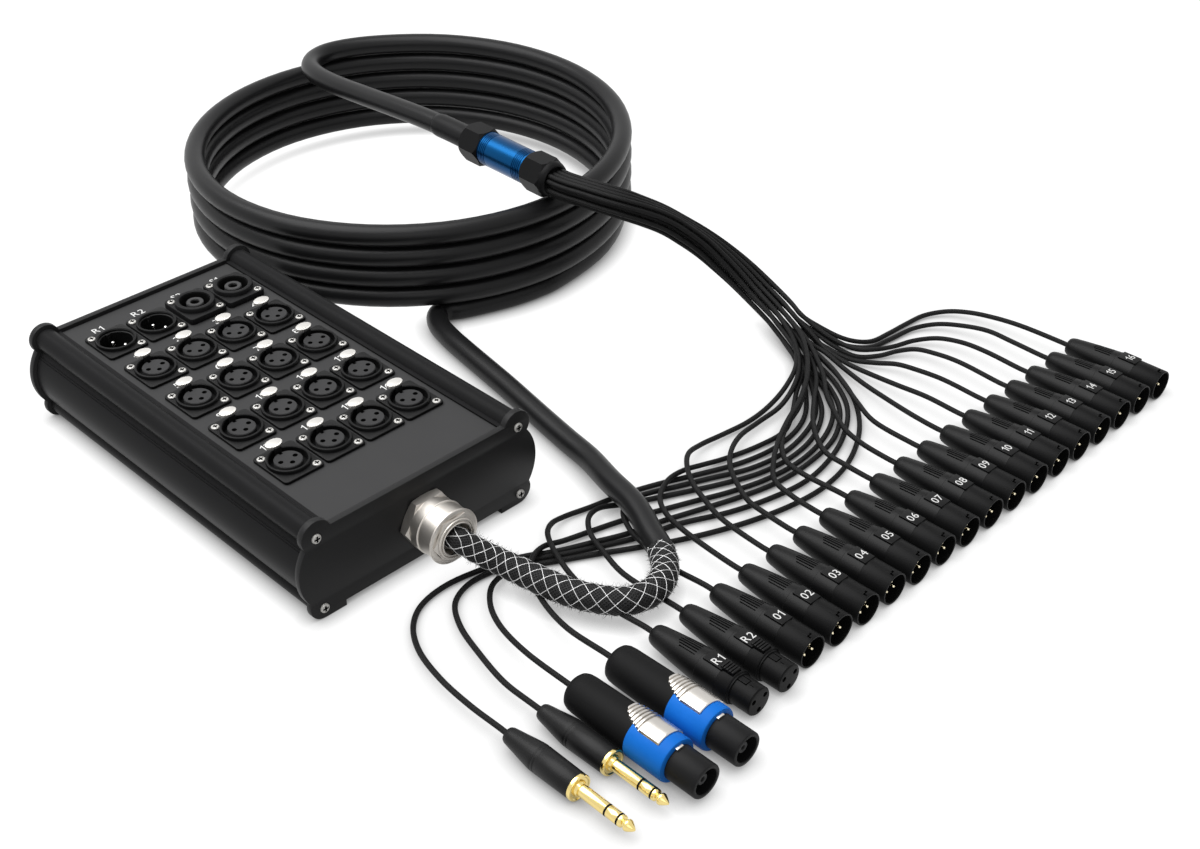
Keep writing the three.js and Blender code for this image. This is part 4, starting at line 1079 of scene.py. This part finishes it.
def rounded_block(name, low, high, corner, edge, material):
    """A block with its upright edges rounded far and the others a little."""
    block = bar(name, low, high, material)
    select_only(block)
    bpy.ops.object.mode_set(mode="EDIT")
    bpy.ops.mesh.select_mode(type="EDGE")
    bpy.ops.mesh.select_all(action="DESELECT")
    shape = bmesh.from_edit_mesh(block.data)
    for side in shape.edges:
        a, b = [v.co for v in side.verts]
        side.select = abs(a.x - b.x) < 1e-6 and abs(a.y - b.y) < 1e-6
    bmesh.update_edit_mesh(block.data)
    bpy.ops.mesh.bevel(offset=corner * MM, segments=5, affect="EDGES")
    bpy.ops.mesh.select_mode(type="VERT")
    bpy.ops.object.mode_set(mode="OBJECT")
    return softened(block, edge)


def post(name, x, y, z0, z1, radius, material, sides):
    """An upright round post between two heights."""
    select_only()
    bpy.ops.mesh.primitive_cylinder_add(
        vertices=sides, radius=radius * MM, depth=(z1 - z0) * MM,
        location=(x * MM, y * MM, (z0 + z1) / 2 * MM),
    )
    return settled(bpy.context.object, name, material)


def socket_flange(top, edge, material):
    """The rectangular flange of a socket, with its round bore."""
    flange = rounded_block("flange", (-13, -15.5, PANEL_TOP), (13, 15.5, top), 2.5, edge, material)
    return carved(flange, [post("bore", 0, 0, 50, 60, 11.5, material, 48)])


def seated(name, parts, x, y, node, screws_at=FLANGE_TOP):
    """The pieces of one socket copied to their place in the panel, and its two screws."""
    for part in parts:
        twin = placed_copy(part, f"{name}_{part.name}", (x, y, 0))
        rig.ride(twin, "stage_box")
        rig.replaces(twin, node)
        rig.slot(twin, "sockets")
    for side, (right, back) in SCREWS_FROM_MIDDLE.items():
        screw = placed_copy(socket_screw, f"{name}_screw_{side}", (x + right, y + back, screws_at))
        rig.ride(screw, "stage_box")


def spare(parts):
    """The patterns that copies were made from are removed."""
    for part in parts:
        bpy.data.objects.remove(part)


send_shell = turned_up("shell", [*SHELL_WALL, (10.95, 57.95), (10.6, 57.6), (10.6, 53)], 48, flange_black)
send_insert = turned_up("insert", [(7.9, 50), (7.9, 57), (7.55, 57.4)], 40, insert_black)
# The contact holes and the key notch are cut with the near-black: painted shade inside them.
send_holes = [
    post("hole", x, y, 54, 60, 1.45, near_black_and_hole_shade, 16) for x, y in ((4.7, 0.2), (-4.7, 0.2), (0, -3.9))
]
carved(send_insert, [*send_holes, bar("key", (-1, 5.9, 54), (1, 9, 60), near_black_and_hole_shade)])
send_parts = [socket_flange(FLANGE_TOP, 0.35, flange_black), send_shell, send_insert]
for number in range(SENDS):
    x, y = COLUMNS[number % 4], ROWS[number // 4]
    seated(f"send_socket_{number + 1:02}", send_parts, x, y, "send_sockets")
spare(send_parts)

# Push tabs
# A bright nickel tab at the back of each send socket. It is pressed to let a plug go, and a
# narrow stem carries it through the ring down to the catch.
TAB_RADII = (5.15, 3.35)
TAB_TILT = 5

tab_nickel = grained(
    "tab_nickel", (0.64, 0.625, 0.595), 0.36, metallic=0.4, scale=2600, depth=0.06, swing=0.05
)
select_only()
bpy.ops.mesh.primitive_cylinder_add(
    vertices=32, radius=MM, depth=1.7 * MM, location=(0, 12.6 * MM, 60.7 * MM)
)
tab_plate = bpy.context.object
tab_plate.scale = (*TAB_RADII, 1)
tab_plate.rotation_euler = (math.radians(TAB_TILT), 0, 0)
settled(tab_plate, "tab_plate", tab_nickel)
carved(tab_plate, [
    bar("rib", (x - 0.28, 8, 61.2), (x + 0.28, 10.4, 63), tab_nickel, turn=(TAB_TILT, 0, 0))
    for x in (-2.4, -1.2, 0, 1.2, 2.4)
])
softened(tab_plate, 0.3)
tab_stem = bar("tab_stem", (-2, 8.2, 54.8), (2, 9.4, 60.6), flange_black, edge=0.2)
for number in range(SENDS):
    x, y = COLUMNS[number % 4], ROWS[number // 4]
    for part in (tab_plate, tab_stem):
        twin = placed_copy(part, f"{part.name}_{number + 1:02}", (x, y, 0))
        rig.ride(twin, f"tab_{number + 1:02}")
        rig.replaces(twin, f"send_latch_{number + 1:02}")
        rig.slot(twin, "push_tabs")
spare([tab_plate, tab_stem])

# Return sockets
# Two male three-pin sockets, R1 and R2: the same flange round a deep black cup, with three pins
# standing in it and a key ridge on its wall.
pin_silver = grained("pin_silver", (0.8, 0.79, 0.77), 0.2, metallic=1, scale=3000, depth=0.05)
PIN_ANGLES = (90, 210, 330)


def ring_of_pins(radius, profile, material):
    """Three pins standing in a ring, the first at the back."""
    pins = []
    for number, angle in enumerate(PIN_ANGLES, start=1):
        a = math.radians(angle)
        pin = turned_up(f"pin_{number}", profile, 16, material)
        pins.append(moved(pin, radius * math.cos(a), radius * math.sin(a), 0))
    return pins


cup = [(10.9, 57.95), (10.4, 57.4), (10.4, 56.4), (9.7, 56.1), (9.6, 46)]
return_parts = [
    socket_flange(FLANGE_TOP, 0.35, flange_black),
    turned_up("shell", [*SHELL_WALL, *cup], 48, flange_black),
    bar("key", (-1.3, 8.4, 45.8), (1.3, 10, 56.6), flange_black, edge=0.3),
    *ring_of_pins(4.8, [(1.2, 45.8), (1.2, 52.4), (0.95, 53), (0.5, 53.3)], pin_silver),
]
for name, x in (("r1", COLUMNS[0]), ("r2", COLUMNS[1])):
    seated(f"return_socket_{name}", return_parts, x, REAR_ROW, "return_sockets")
spare(return_parts)

# Speaker sockets
# Two round locking speaker sockets: a thicker flange, a ring, a deep round channel and a centre
# boss with a hole in it, all in black glass-filled nylon; the channel and the hole carry painted shade.
nylon_black = grained("nylon_black", (0.01, 0.01, 0.0105), 0.5, scale=1600, depth=0.25, swing=0.12)
boss_grey = grained("boss_grey", (0.06, 0.06, 0.061), 0.5, scale=1600, depth=0.2)
SPEAKER_SCREWS_AT = 58.1
speaker_shell = turned_up(
    "shell",
    [(11.3, 31.7), (12, 32.3), (12, 54.4), (12.2, 58), (12.2, 60.6), (11.9, 61.1), (11.3, 61.3),
     (10.1, 61.3), (9.5, 61), (9.3, 60.4), (9.3, 52.3)],
    48, nylon_black,
)
speaker_boss = turned_up(
    "boss", [(5.3, 52), (5.3, 59.2), (4.9, 59.7), (3.1, 59.7), (2.8, 59.4), (2.8, 58.6)], 36, boss_grey
)
# The boss's hole is cut with the near-black and the channel is a near-black lining: painted shade in both.
carved(speaker_boss, [post("hole", 0, 0, 54, 61, 2.7, near_black_and_hole_shade, 32)])
speaker_channel = turned_up(
    "channel", [(9.35, 52.4), (9.35, 60.3), (9.1, 60.3), (9.1, 53), (5, 53)], 48, near_black_and_hole_shade
)
speaker_parts = [socket_flange(58.2, 0.4, nylon_black), speaker_shell, speaker_boss, speaker_channel]
for name, x in (("2", COLUMNS[2]), ("1", COLUMNS[3])):
    seated(f"speaker_socket_{name}", speaker_parts, x, REAR_ROW, "speaker_sockets", SPEAKER_SCREWS_AT)
spare([*speaker_parts, socket_screw])

# Gland
# A nickel-plated brass cable gland: a hexagon and body against the front plate, a round clamp
# nut with a hexagon cap that grips the cable, and a lock nut inside the box.
gland_nickel = grained(
    "gland_nickel", (0.58, 0.55, 0.51), 0.4, metallic=1, scale=3000, depth=0.04, swing=0.06
)


def hexagon(name, corner, z0, z1, chamfer, material):
    """A hexagon nut blank whose corners are chamfered by a cone at both ends."""
    blank = post(name, 0, 0, z0, z1, corner, material, 6)
    blank.data.transform(Matrix.Rotation(math.radians(30), 4, "Z"))
    narrow, wide = 0.99 * corner * math.cos(math.radians(30)), 1.02 * corner
    cone = turned_up(
        "cone", [(narrow, z0), (wide, z0 + chamfer), (wide, z1 - chamfer), (narrow, z1)], 48, material
    )
    return tidied(carved(blank, [cone], "INTERSECT"), 20)


def on_gland(piece, node):
    """A piece made along +Z with its z as a distance out from the front plate."""
    piece.data.transform(Matrix.Translation((0, -BOX_HALF * MM, GLAND_Z * MM)) @ forward)
    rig.ride(piece, "stage_box")
    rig.replaces(piece, node)
    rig.slot(piece, "gland")
    return piece


on_gland(hexagon("gland_base_hexagon", 17.5, 0.2, 6.3, 1.2, gland_nickel), "gland_body")
gland_tube = turned_up(
    "gland_tube", [(10, -11.5), (10, 0.3), (14.8, 5.4), (15.4, 6), (15.4, 12.4), (14.8, 12.7)],
    72, gland_nickel,
)
on_gland(gland_tube, "gland_body")
gland_ring = turned_up(
    "gland_nut_ring",
    [(15.3, 12.4), (15.9, 12.5), (16.15, 12.9), (16.0, 13.3), (15.6, 13.5), (15.6, 23.1), (16.1, 23.3),
     (16.5, 23.8), (16.4, 24.3), (15.9, 24.6), (14.2, 24.8), (13.2, 24.8), (13.2, 20)],
    80, gland_nickel,
)
on_gland(gland_ring, "gland_nut")
gland_cap = hexagon("gland_nut_cap", 14.9, 22, 26.3, 0.9, gland_nickel)
carved(gland_cap, [post("bore", 0, 0, 18, 40, 11, gland_nickel, 48)])
tidied(on_gland(gland_cap, "gland_nut"), 25)
gland_lip = turned_up(
    "gland_nut_lip",
    [(11, 21), (12, 22), (12, 26.4), (11.7, 26.9), (11.1, 27), (10.8, 26.5), (10.3, 26.5), (10.2, 27.1),
     (9.8, 27.4), (9.3, 27.3), (9.1, 26.8), (9.1, 18.3)],
    64, gland_nickel,
)
on_gland(gland_lip, "gland_nut")
# A near-black disc across the gland's bore behind its lip, round the cable: the seal, darkened as painted shade in the
# mouth.
gland_dark = on_gland(turned_up("gland_seal_and_mouth_shade", [(9.15, 17.5), (9.15, 19.4)], 40, near_black_and_hole_shade), "gland_nut")
on_gland(hexagon("gland_locknut_ring", 14.5, -8.3, -4.3, 0.6, gland_nickel), "gland_locknut")

# Breakout
# A blue anodised barrel with a band of fine grooves at each end, between two black plastic clamp
# nuts. The multicore goes in at one end and its tails come out of the other.
BREAKOUT_X, BREAKOUT_Z = 242, 88
BREAKOUT_MOUTH_Y = 13.4
BREAKOUT_RAISED, BREAKOUT_TILT = 0.6, 1
BARREL_RADIUS, GROOVE_DEPTH, GROOVE_PITCH, GROOVES = 11.5, 0.4, 1.55, 5

breakout_black = grained("breakout_black", (0.008, 0.008, 0.0083), 0.4, scale=1800, depth=0.15, shine=0.07)
barrel_blue = grained("barrel_blue", (0.0, 0.056, 0.17), 0.27, metallic=0.9, scale=2600, depth=0.02)


def on_breakout(piece, node, slot):
    """A piece made along +Z with its z as a distance towards the tails from y = 0."""
    piece.data.transform(Matrix.Rotation(math.radians(90 + BREAKOUT_TILT), 4, "X"))
    moved(piece, BREAKOUT_X, 0, BREAKOUT_Z + BREAKOUT_RAISED)
    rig.ride(piece, "stage_box")
    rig.replaces(piece, node)
    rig.slot(piece, slot)
    return piece


nut_in = hexagon("breakout_hexagon_in", 13.8, -98, -80, 2.6, breakout_black)
on_breakout(nut_in, "breakout_nut_in", "breakout_nuts")
nut_out = hexagon("breakout_hexagon_out", 13.8, -38, -19, 2.6, breakout_black)
on_breakout(nut_out, "breakout_nut_out", "breakout_nuts")
dome = turned_up(
    "breakout_dome",
    [(11.4, -21), (12.2, -20.4), (12, -18.4), (11.2, -16.2), (10.3, -15.4), (9.6, -15.3), (9.2, -15.8),
     (9.1, -19)],
    48, breakout_black,
)
on_breakout(dome, "breakout_nut_out", "breakout_nuts")
barrel_profile = [(10.8, -82), (BARREL_RADIUS, -80.5)]
for start in (-79.6, -46.4):
    for groove in range(GROOVES):
        z = start + GROOVE_PITCH * groove
        low = BARREL_RADIUS - GROOVE_DEPTH
        barrel_profile += [(BARREL_RADIUS, z), (low, z + 0.15), (low, z + 0.6), (BARREL_RADIUS, z + 0.75)]
barrel_profile += [(BARREL_RADIUS, -37.6), (10.8, -36)]
barrel = turned_up("breakout_tube", barrel_profile, 64, barrel_blue)
on_breakout(barrel, "breakout_barrel", "breakout_barrel")

# Send plugs
# Sixteen male three-pin plugs: a black rubber boot with flutes, a collar with a flat number pad,
# a dark grey metal shell with a keyway at its rim, and three gold pins down in its mouth.
FLUTES, FLUTE_STEP = 6, 10.5
PAD_FROM_REAR, PAD_TOP, PAD_FIGURES = 42.6, 10.03, 5.1

boot_black = grained(
    "boot_black", (0.004, 0.004, 0.0042), 0.4, scale=1600, depth=0.12, swing=0.12, shine=0.15
)
shell_grey = grained("shell_grey", (0.0065, 0.0065, 0.0067), 0.42, scale=2400, depth=0.15, shine=0.075)
pin_gold = grained("pin_gold", (0.93, 0.84, 0.6), 0.22, metallic=1, scale=3000, depth=0.02)


def plug_boot():
    """The rubber boot, with its rear end at z = 0 and short flutes along its top."""
    boot = turned_up(
        "boot",
        [(3.9, 0), (4.9, 0.5), (5.6, 1.6), (6.2, 4), (7.1, 11), (8.0, 19), (8.8, 27), (9.35, 33), (9.45, 36),
         (9, 36.5)],
        40, boot_black,
    )
    grooves = []
    for k in range(FLUTES):
        across = k - (FLUTES - 1) / 2
        groove = bar(
            "groove", (-0.36, 7.3, 17 + 1.2 * abs(across)), (0.36, 9.8, 31), boot_black, turn=(-5.7, 0, 0)
        )
        groove.data.transform(Matrix.Rotation(math.radians(FLUTE_STEP * across), 4, "Z"))
        grooves.append(groove)
    return tidied(carved(boot, grooves), 40)


def plug_collar():
    """The collar in front of the boot, with a flat pad for the plug's number."""
    collar = turned_up("collar", [(9.2, 34.5), (9.65, 35), (9.65, 48), (9.4, 48.4)], 48, boot_black)
    pad = rounded_block("pad", (-4.1, -6, 36.4), (4.1, 10, 48.6), 0.3, 0.25, boot_black)
    return tidied(carved(collar, [pad], "UNION"), 30)


send_plug_parts = [plug_boot(), plug_collar()]
send_plug_shell = turned_up(
    "shell", [(9.0, 45), (9.5, 45.6), (9.5, 65.6), (9.3, 66), (8.6, 66), (8.4, 65.7), (8.3, 50)],
    64, shell_grey,
)
carved(send_plug_shell, [
    bar("keyway", (-1.7, 8, 61.8), (1.7, 11, 63.2), shell_grey),
    bar("keyway", (-1.7, 8, 61.8), (-0.7, 11, 64.8), shell_grey),
])
send_plug_parts += [
    tidied(send_plug_shell, 35),
    turned_up("insert", [(8.2, 49), (8.2, 50.5), (7.9, 50.8)], 40, near_black_and_hole_shade),
    *ring_of_pins(3.6, [(0.95, 50), (0.95, 62.6), (0.75, 63.2), (0.4, 63.5)], pin_gold),
]


def plug_placed(part, name, place, body, node, slot):
    """A copy of a plug piece, laid forward from the plug's rear end."""
    twin = placed_copy(part, name, place, forward)
    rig.ride(twin, body)
    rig.replaces(twin, node)
    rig.slot(twin, slot)
    return twin


# The pieces of the plug at the end of each tail that go with its cord.
plug_pieces = {}


def fitted(kind, parts, slot):
    """Copies the fixed pieces of one kind of plug to each of its tails, then drops the patterns."""
    for tail, place in tail_ends.items():
        if tail.startswith(kind):
            side = tail.removeprefix(f"{kind}_")
            plug = f"{kind}_plug_{side}"
            plug_pieces[tail] = [
                plug_placed(part, f"{plug}_{part.name}", place, "stage_box", plug, slot) for part in parts
            ]
            yield tail, plug, side, place
    spare(parts)


def pad_label(plug, words, place):
    """White figures on the flat pad of a plug's collar."""
    x, y, z = place
    label = printed(f"{plug}_label", words, (x, y - PAD_FROM_REAR, z + PAD_TOP), PAD_FIGURES, print_white)
    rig.ride(label, "stage_box")
    return label


for tail, plug, number, place in fitted("send", send_plug_parts, "line_plugs"):
    plug_pieces[tail].append(pad_label(plug, number, place))

# Return plugs
# Two female three-pin plugs, R1 and R2: the same boot and collar, a shell with a slide button in
# a pocket, and a narrower nose with slots and three contact holes.
return_plug_shell = turned_up(
    "shell", [(9.0, 45), (9.5, 45.6), (9.5, 55.4), (9.2, 56), (8.7, 56.2), (8.7, 57), (8.2, 57.2)],
    64, shell_grey,
)
carved(return_plug_shell, [rounded_block("pocket", (-3.3, 6.2, 46.7), (3.3, 12, 55.3), 0.3, 0.1, shell_grey)])
return_nose = turned_up("nose", [(7.9, 55.6), (8, 56.2), (8, 69.2), (7.5, 69.9), (6.9, 70)], 56, shell_grey)
# The contact holes and slots of the nose are cut with the near-black: painted shade inside them.
nose_cuts = [
    post("contact", 4.8 * math.cos(a), -4.8 * math.sin(a), 62, 71, 1.5, near_black_and_hole_shade, 20)
    for a in map(math.radians, PIN_ANGLES)
]
nose_cuts += [
    bar("slot", low, high, near_black_and_hole_shade) for low, high in (
        ((-2.2, 7, 57), (-1.6, 9, 63)), ((1.6, 7, 57), (2.2, 9, 63)), ((-2.2, 7, 62.4), (2.2, 9, 63)),
        ((-0.9, 7.3, 64), (-0.5, 9, 66.5)),
    )
]
carved(return_nose, nose_cuts)
return_plug_parts = [plug_boot(), plug_collar(), tidied(return_plug_shell, 35), tidied(return_nose, 35)]
button = rounded_block("button", (-3, 7.9, 47), (3, 10.9, 55), 0.5, 0.3, boot_black)
carved(button, [
    bar("rib", (-4, 10.2, z), (4, 12, z + 0.75), boot_black) for z in (48.1, 49.8, 51.5, 53.2)
])
tidied(button, 30)
for tail, plug, side, place in fitted("return", return_plug_parts, "line_plugs"):
    pressed = plug_placed(
        button, f"{plug}_button", place, f"button_{side}", f"return_latch_{side}", "release_buttons"
    )
    plug_pieces[tail] += [pressed, pad_label(plug, side.upper(), place)]
spare([button])

# Speaker plugs
# Two round locking speaker plugs: a matt black rear sleeve, a blue collar, a black nose with a
# centre post, and a bright zinc thumb latch, ribbed and pointed at its rear, that slides back.
rubber_black = grained("rubber_black", (0.004, 0.004, 0.0042), 0.6, scale=1400, depth=0.15)
collar_blue = grained("collar_blue", (0.008, 0.17, 0.68), 0.5, scale=1400, depth=0.15)
latch_zinc = grained(
    "latch_zinc", (0.6, 0.575, 0.54), 0.3, metallic=1, scale=2600, depth=0.02, swing=0.05
)
LATCH_VALLEY, LATCH_RIBS, RIB_PITCH = 12.05, 5, 2.2
LATCH_ACROSS = 8.6
LATCH_TURN = -14

speaker_sleeve = turned_up(
    "sleeve",
    [(6.5, 0), (8.3, 0.5), (9.6, 1.7), (10.3, 3.6), (10.6, 6.5), (11.0, 26), (11.2, 44), (10.6, 44.6)],
    56, rubber_black,
)
speaker_collar = turned_up(
    "collar",
    [(10.8, 43.4), (11.6, 43.5), (11.9, 43.9), (11.9, 66.2), (11.5, 67.3), (10.6, 67.9), (9.4, 68)],
    64, collar_blue,
)
speaker_nose = turned_up(
    "nose",
    [(9.2, 67), (9.3, 68), (9.3, 85.2), (9.0, 85.8), (8.4, 86), (7.4, 86), (7, 85.6), (7, 74)],
    56, nylon_black,
)
nose_post = turned_up(
    "post", [(3.2, 73), (3.2, 83), (2.9, 83.5), (1.5, 83.5), (1.3, 83.2), (1.3, 80)], 32, boss_grey
)
nose_key = bar("nose_key", (-2.2, 8.9, 67.9), (2.2, 10.3, 69.4), latch_zinc, edge=0.2)
latch_profile = [(11.2, 34.6), (12.3, 35), (12.8, 35.6), (12.8, 36.6)]
for rib in range(LATCH_RIBS):
    top, z = 12.85 + 0.05 * rib, 36.9 + RIB_PITCH * rib
    latch_profile += [(LATCH_VALLEY, z), (LATCH_VALLEY, z + 0.5), (top, z + 0.8), (top, z + 1.9)]
latch_profile += [(LATCH_VALLEY, 47.9), (LATCH_VALLEY, 48.4), (12.9, 48.8), (12.9, 60.8), (12.5, 61.3)]
latch_body = turned_up("latch", latch_profile, 96, latch_zinc)
shield = [
    (0, 34.6), (2.6, 35.2), (4.6, 37.2), (6.1, 40), (7.5, 44), (LATCH_ACROSS, 48.5), (LATCH_ACROSS, 61.4),
]
shield += [(-x, z) for x, z in reversed(shield) if x]
window = extruded("window", shield, 6, 20, latch_zinc)
carved(latch_body, [window], "INTERSECT")
tidied(latch_body, 35)
latch_body.data.transform(Matrix.Rotation(math.radians(LATCH_TURN), 4, "Z"))
speaker_plug_parts = [speaker_sleeve, speaker_collar, speaker_nose, nose_post, nose_key]
for tail, plug, side, place in fitted("speaker", speaker_plug_parts, "speaker_plugs"):
    slid = plug_placed(
        latch_body, f"{plug}_latch", place, f"thumb_{side}", f"speaker_latch_{side}", "thumb_latches"
    )
    plug_pieces[tail] = [*plug_pieces[tail][:2], slid]
spare([latch_body])

# Jack plugs
# Two stereo jack plugs: a black barrel with a rounded, tapered rear, a gold collar and shaft
# with two black rings round it, and a gold tip.
jack_black = grained("jack_black", (0.008, 0.008, 0.0083), 0.4, scale=1800, depth=0.2, shine=0.17)
plug_gold = grained("plug_gold", (0.82, 0.65, 0.26), 0.16, metallic=1, depth=0.0, swing=0.0, shade=0.0)
jack_barrel = turned_up(
    "barrel",
    [(3.0, 0), (4.0, 0.5), (4.5, 1.6), (4.9, 4), (5.6, 9), (6.4, 14), (7.1, 19), (7.3, 21), (7.28, 22.2),
     (7.18, 22.4), (7.18, 22.8), (7.28, 23), (7.28, 24), (7.18, 24.2), (7.18, 24.6), (7.28, 24.8),
     (7.0, 46.4), (6.7, 47)],
    48, jack_black,
)
jack_collar = turned_up(
    "collar",
    [(6.5, 46.6), (7.0, 46.9), (7.05, 47.5), (7.05, 48.4), (6.8, 48.8), (6.1, 48.9), (5.5, 48.4),
     (4.3, 48.3), (4.0, 49.2), (3.7, 50.2)],
    48, plug_gold,
)
jack_shaft = turned_up("shaft", [(3.17, 49), (3.17, 66.5), (3.05, 66.7)], 32, plug_gold)
jack_ring = turned_up("ring", [(3.05, 67.7), (3.17, 67.9), (3.17, 74.1), (3.05, 74.3)], 32, plug_gold)
jack_bands = turned_up(
    "bands",
    [(3.0, 66.6), (3.19, 66.7), (3.19, 67.7), (2.9, 67.8), (2.9, 74.2), (3.19, 74.3), (3.19, 75.1),
     (2.9, 75.2)],
    32, near_black_and_hole_shade,
)
jack_tip = turned_up(
    "tip",
    [(2.9, 75.1), (3.17, 75.4), (3.17, 76.3), (2.9, 77), (2.0, 77.6), (1.75, 78.2), (2.1, 78.7),
     (2.95, 79), (3.1, 79.5), (3.0, 80.2), (2.2, 81.6), (1.2, 83.1), (0.4, 84)],
    32, plug_gold,
)
jack_parts = [jack_barrel, jack_collar, jack_shaft, jack_ring, jack_bands, jack_tip]
for tail, *_ in fitted("jack", jack_parts, "jack_plugs"):
    plug_pieces[tail] = plug_pieces[tail][:2]

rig.cord(
    multicore,
    exit=Vector((0, GLAND_MOUTH_Y, GLAND_Z)) * MM,
    length=line_length(multicore_line),
    diameter=2 * MULTICORE_RADIUS * MM,
    far_end="fitting",
    path=multicore_line,
    with_pieces=[
        sock, sock_wires, sock_fibres, sleeve, gland_ring, gland_cap, gland_lip, gland_dark,
        nut_in, nut_out, dome, barrel,
    ],
)
for name, (tail, line) in tails.items():
    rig.cord(
        tail,
        exit=Vector((BREAKOUT_X, BREAKOUT_MOUTH_Y, BREAKOUT_Z)) * MM,
        length=line_length(line),
        diameter=2 * TAIL_RADIUS * MM,
        far_end="plug" if name.startswith("jack") else "connector",
        path=line,
        with_pieces=plug_pieces[name],
    )

# Studio
# A plain pale floor and a world that show white to the camera and in gloss but light the object
# little, the object's close shadow on the floor, a large soft lamp above and a weak one in front.
FLOOR_GREY, FLOOR_GLOW, SHOWN_GREY = 0.45, 0.965, 0.12
SHADOW_REACH = 0.011
WORLD_LIGHT = 0.17


def shown_rays(tree):
    """1 for the rays that show the studio: to the camera, in gloss and through glass."""
    seen = tree.nodes.new("ShaderNodeLightPath")
    last = seen.outputs["Is Camera Ray"]
    for kind in ("Is Glossy Ray", "Is Transmission Ray"):
        last = worked(tree, "MAXIMUM", last, seen.outputs[kind])
    return last


floor_white = bpy.data.materials.new("floor_white")
floor_white.use_nodes = True
nodes, links = floor_white.node_tree.nodes, floor_white.node_tree.links
nodes.clear()
paint = nodes.new("ShaderNodeBsdfDiffuse")
paint.inputs["Color"].default_value = (*[FLOOR_GREY] * 3, 1)
thin_paint = nodes.new("ShaderNodeBsdfDiffuse")
thin_paint.inputs["Color"].default_value = (*[SHOWN_GREY] * 3, 1)
close_shade = nodes.new("ShaderNodeAmbientOcclusion")
close_shade.inputs["Distance"].default_value = SHADOW_REACH
glow = nodes.new("ShaderNodeEmission")
glow.inputs["Strength"].default_value = FLOOR_GLOW
shown = nodes.new("ShaderNodeAddShader")
blend = nodes.new("ShaderNodeMixShader")
floor_out = nodes.new("ShaderNodeOutputMaterial")
links.new(close_shade.outputs["Color"], glow.inputs["Color"])
links.new(glow.outputs["Emission"], shown.inputs[0])
links.new(thin_paint.outputs["BSDF"], shown.inputs[1])
links.new(shown_rays(floor_white.node_tree), blend.inputs["Fac"])
links.new(paint.outputs["BSDF"], blend.inputs[1])
links.new(shown.outputs["Shader"], blend.inputs[2])
links.new(blend.outputs["Shader"], floor_out.inputs["Surface"])
select_only()
bpy.ops.mesh.primitive_plane_add(size=6, location=(0.15, 0, -0.0002))
floor = settled(bpy.context.object, "floor", floor_white)
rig.stage(floor)

world = bpy.data.worlds.new("studio")
bpy.context.scene.world = world
world.use_nodes = True
background = world.node_tree.nodes["Background"]
background.inputs["Color"].default_value = (1, 1, 1, 1)
strength = world.node_tree.nodes.new("ShaderNodeMapRange")
strength.inputs["To Min"].default_value = WORLD_LIGHT
strength.inputs["To Max"].default_value = 1.0
world.node_tree.links.new(shown_rays(world.node_tree), strength.inputs["Value"])
world.node_tree.links.new(strength.outputs["Result"], background.inputs["Strength"])


def soft_lamp(name, place, aim, size, power):
    """A square area lamp that faces a point."""
    lamp = bpy.data.lights.new(name, "AREA")
    lamp.shape = "SQUARE"
    lamp.size = size
    lamp.energy = power
    holder = new_object(name, lamp)
    holder.location = place
    holder.rotation_euler = (Vector(aim) - Vector(place)).to_track_quat("-Z", "Y").to_euler()


soft_lamp("top_lamp", (-0.25, 0.45, 1.6), (0.15, 0, 0), 1.8, 45)
soft_lamp("fill_lamp", (-0.9, -1.2, 1.1), (0.15, 0, 0), 0.8, 2.5)
bpy.context.scene.view_settings.view_transform = "Standard"

low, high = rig.bounds()
sizes = {
    "cad_box": [list(map(float, corner)) for corner in cad_box],
    "visual_box": [list(map(float, low)), list(map(float, high))],
}
with open("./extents.json", "w") as out_file:
    json.dump(sizes, out_file, indent=1)
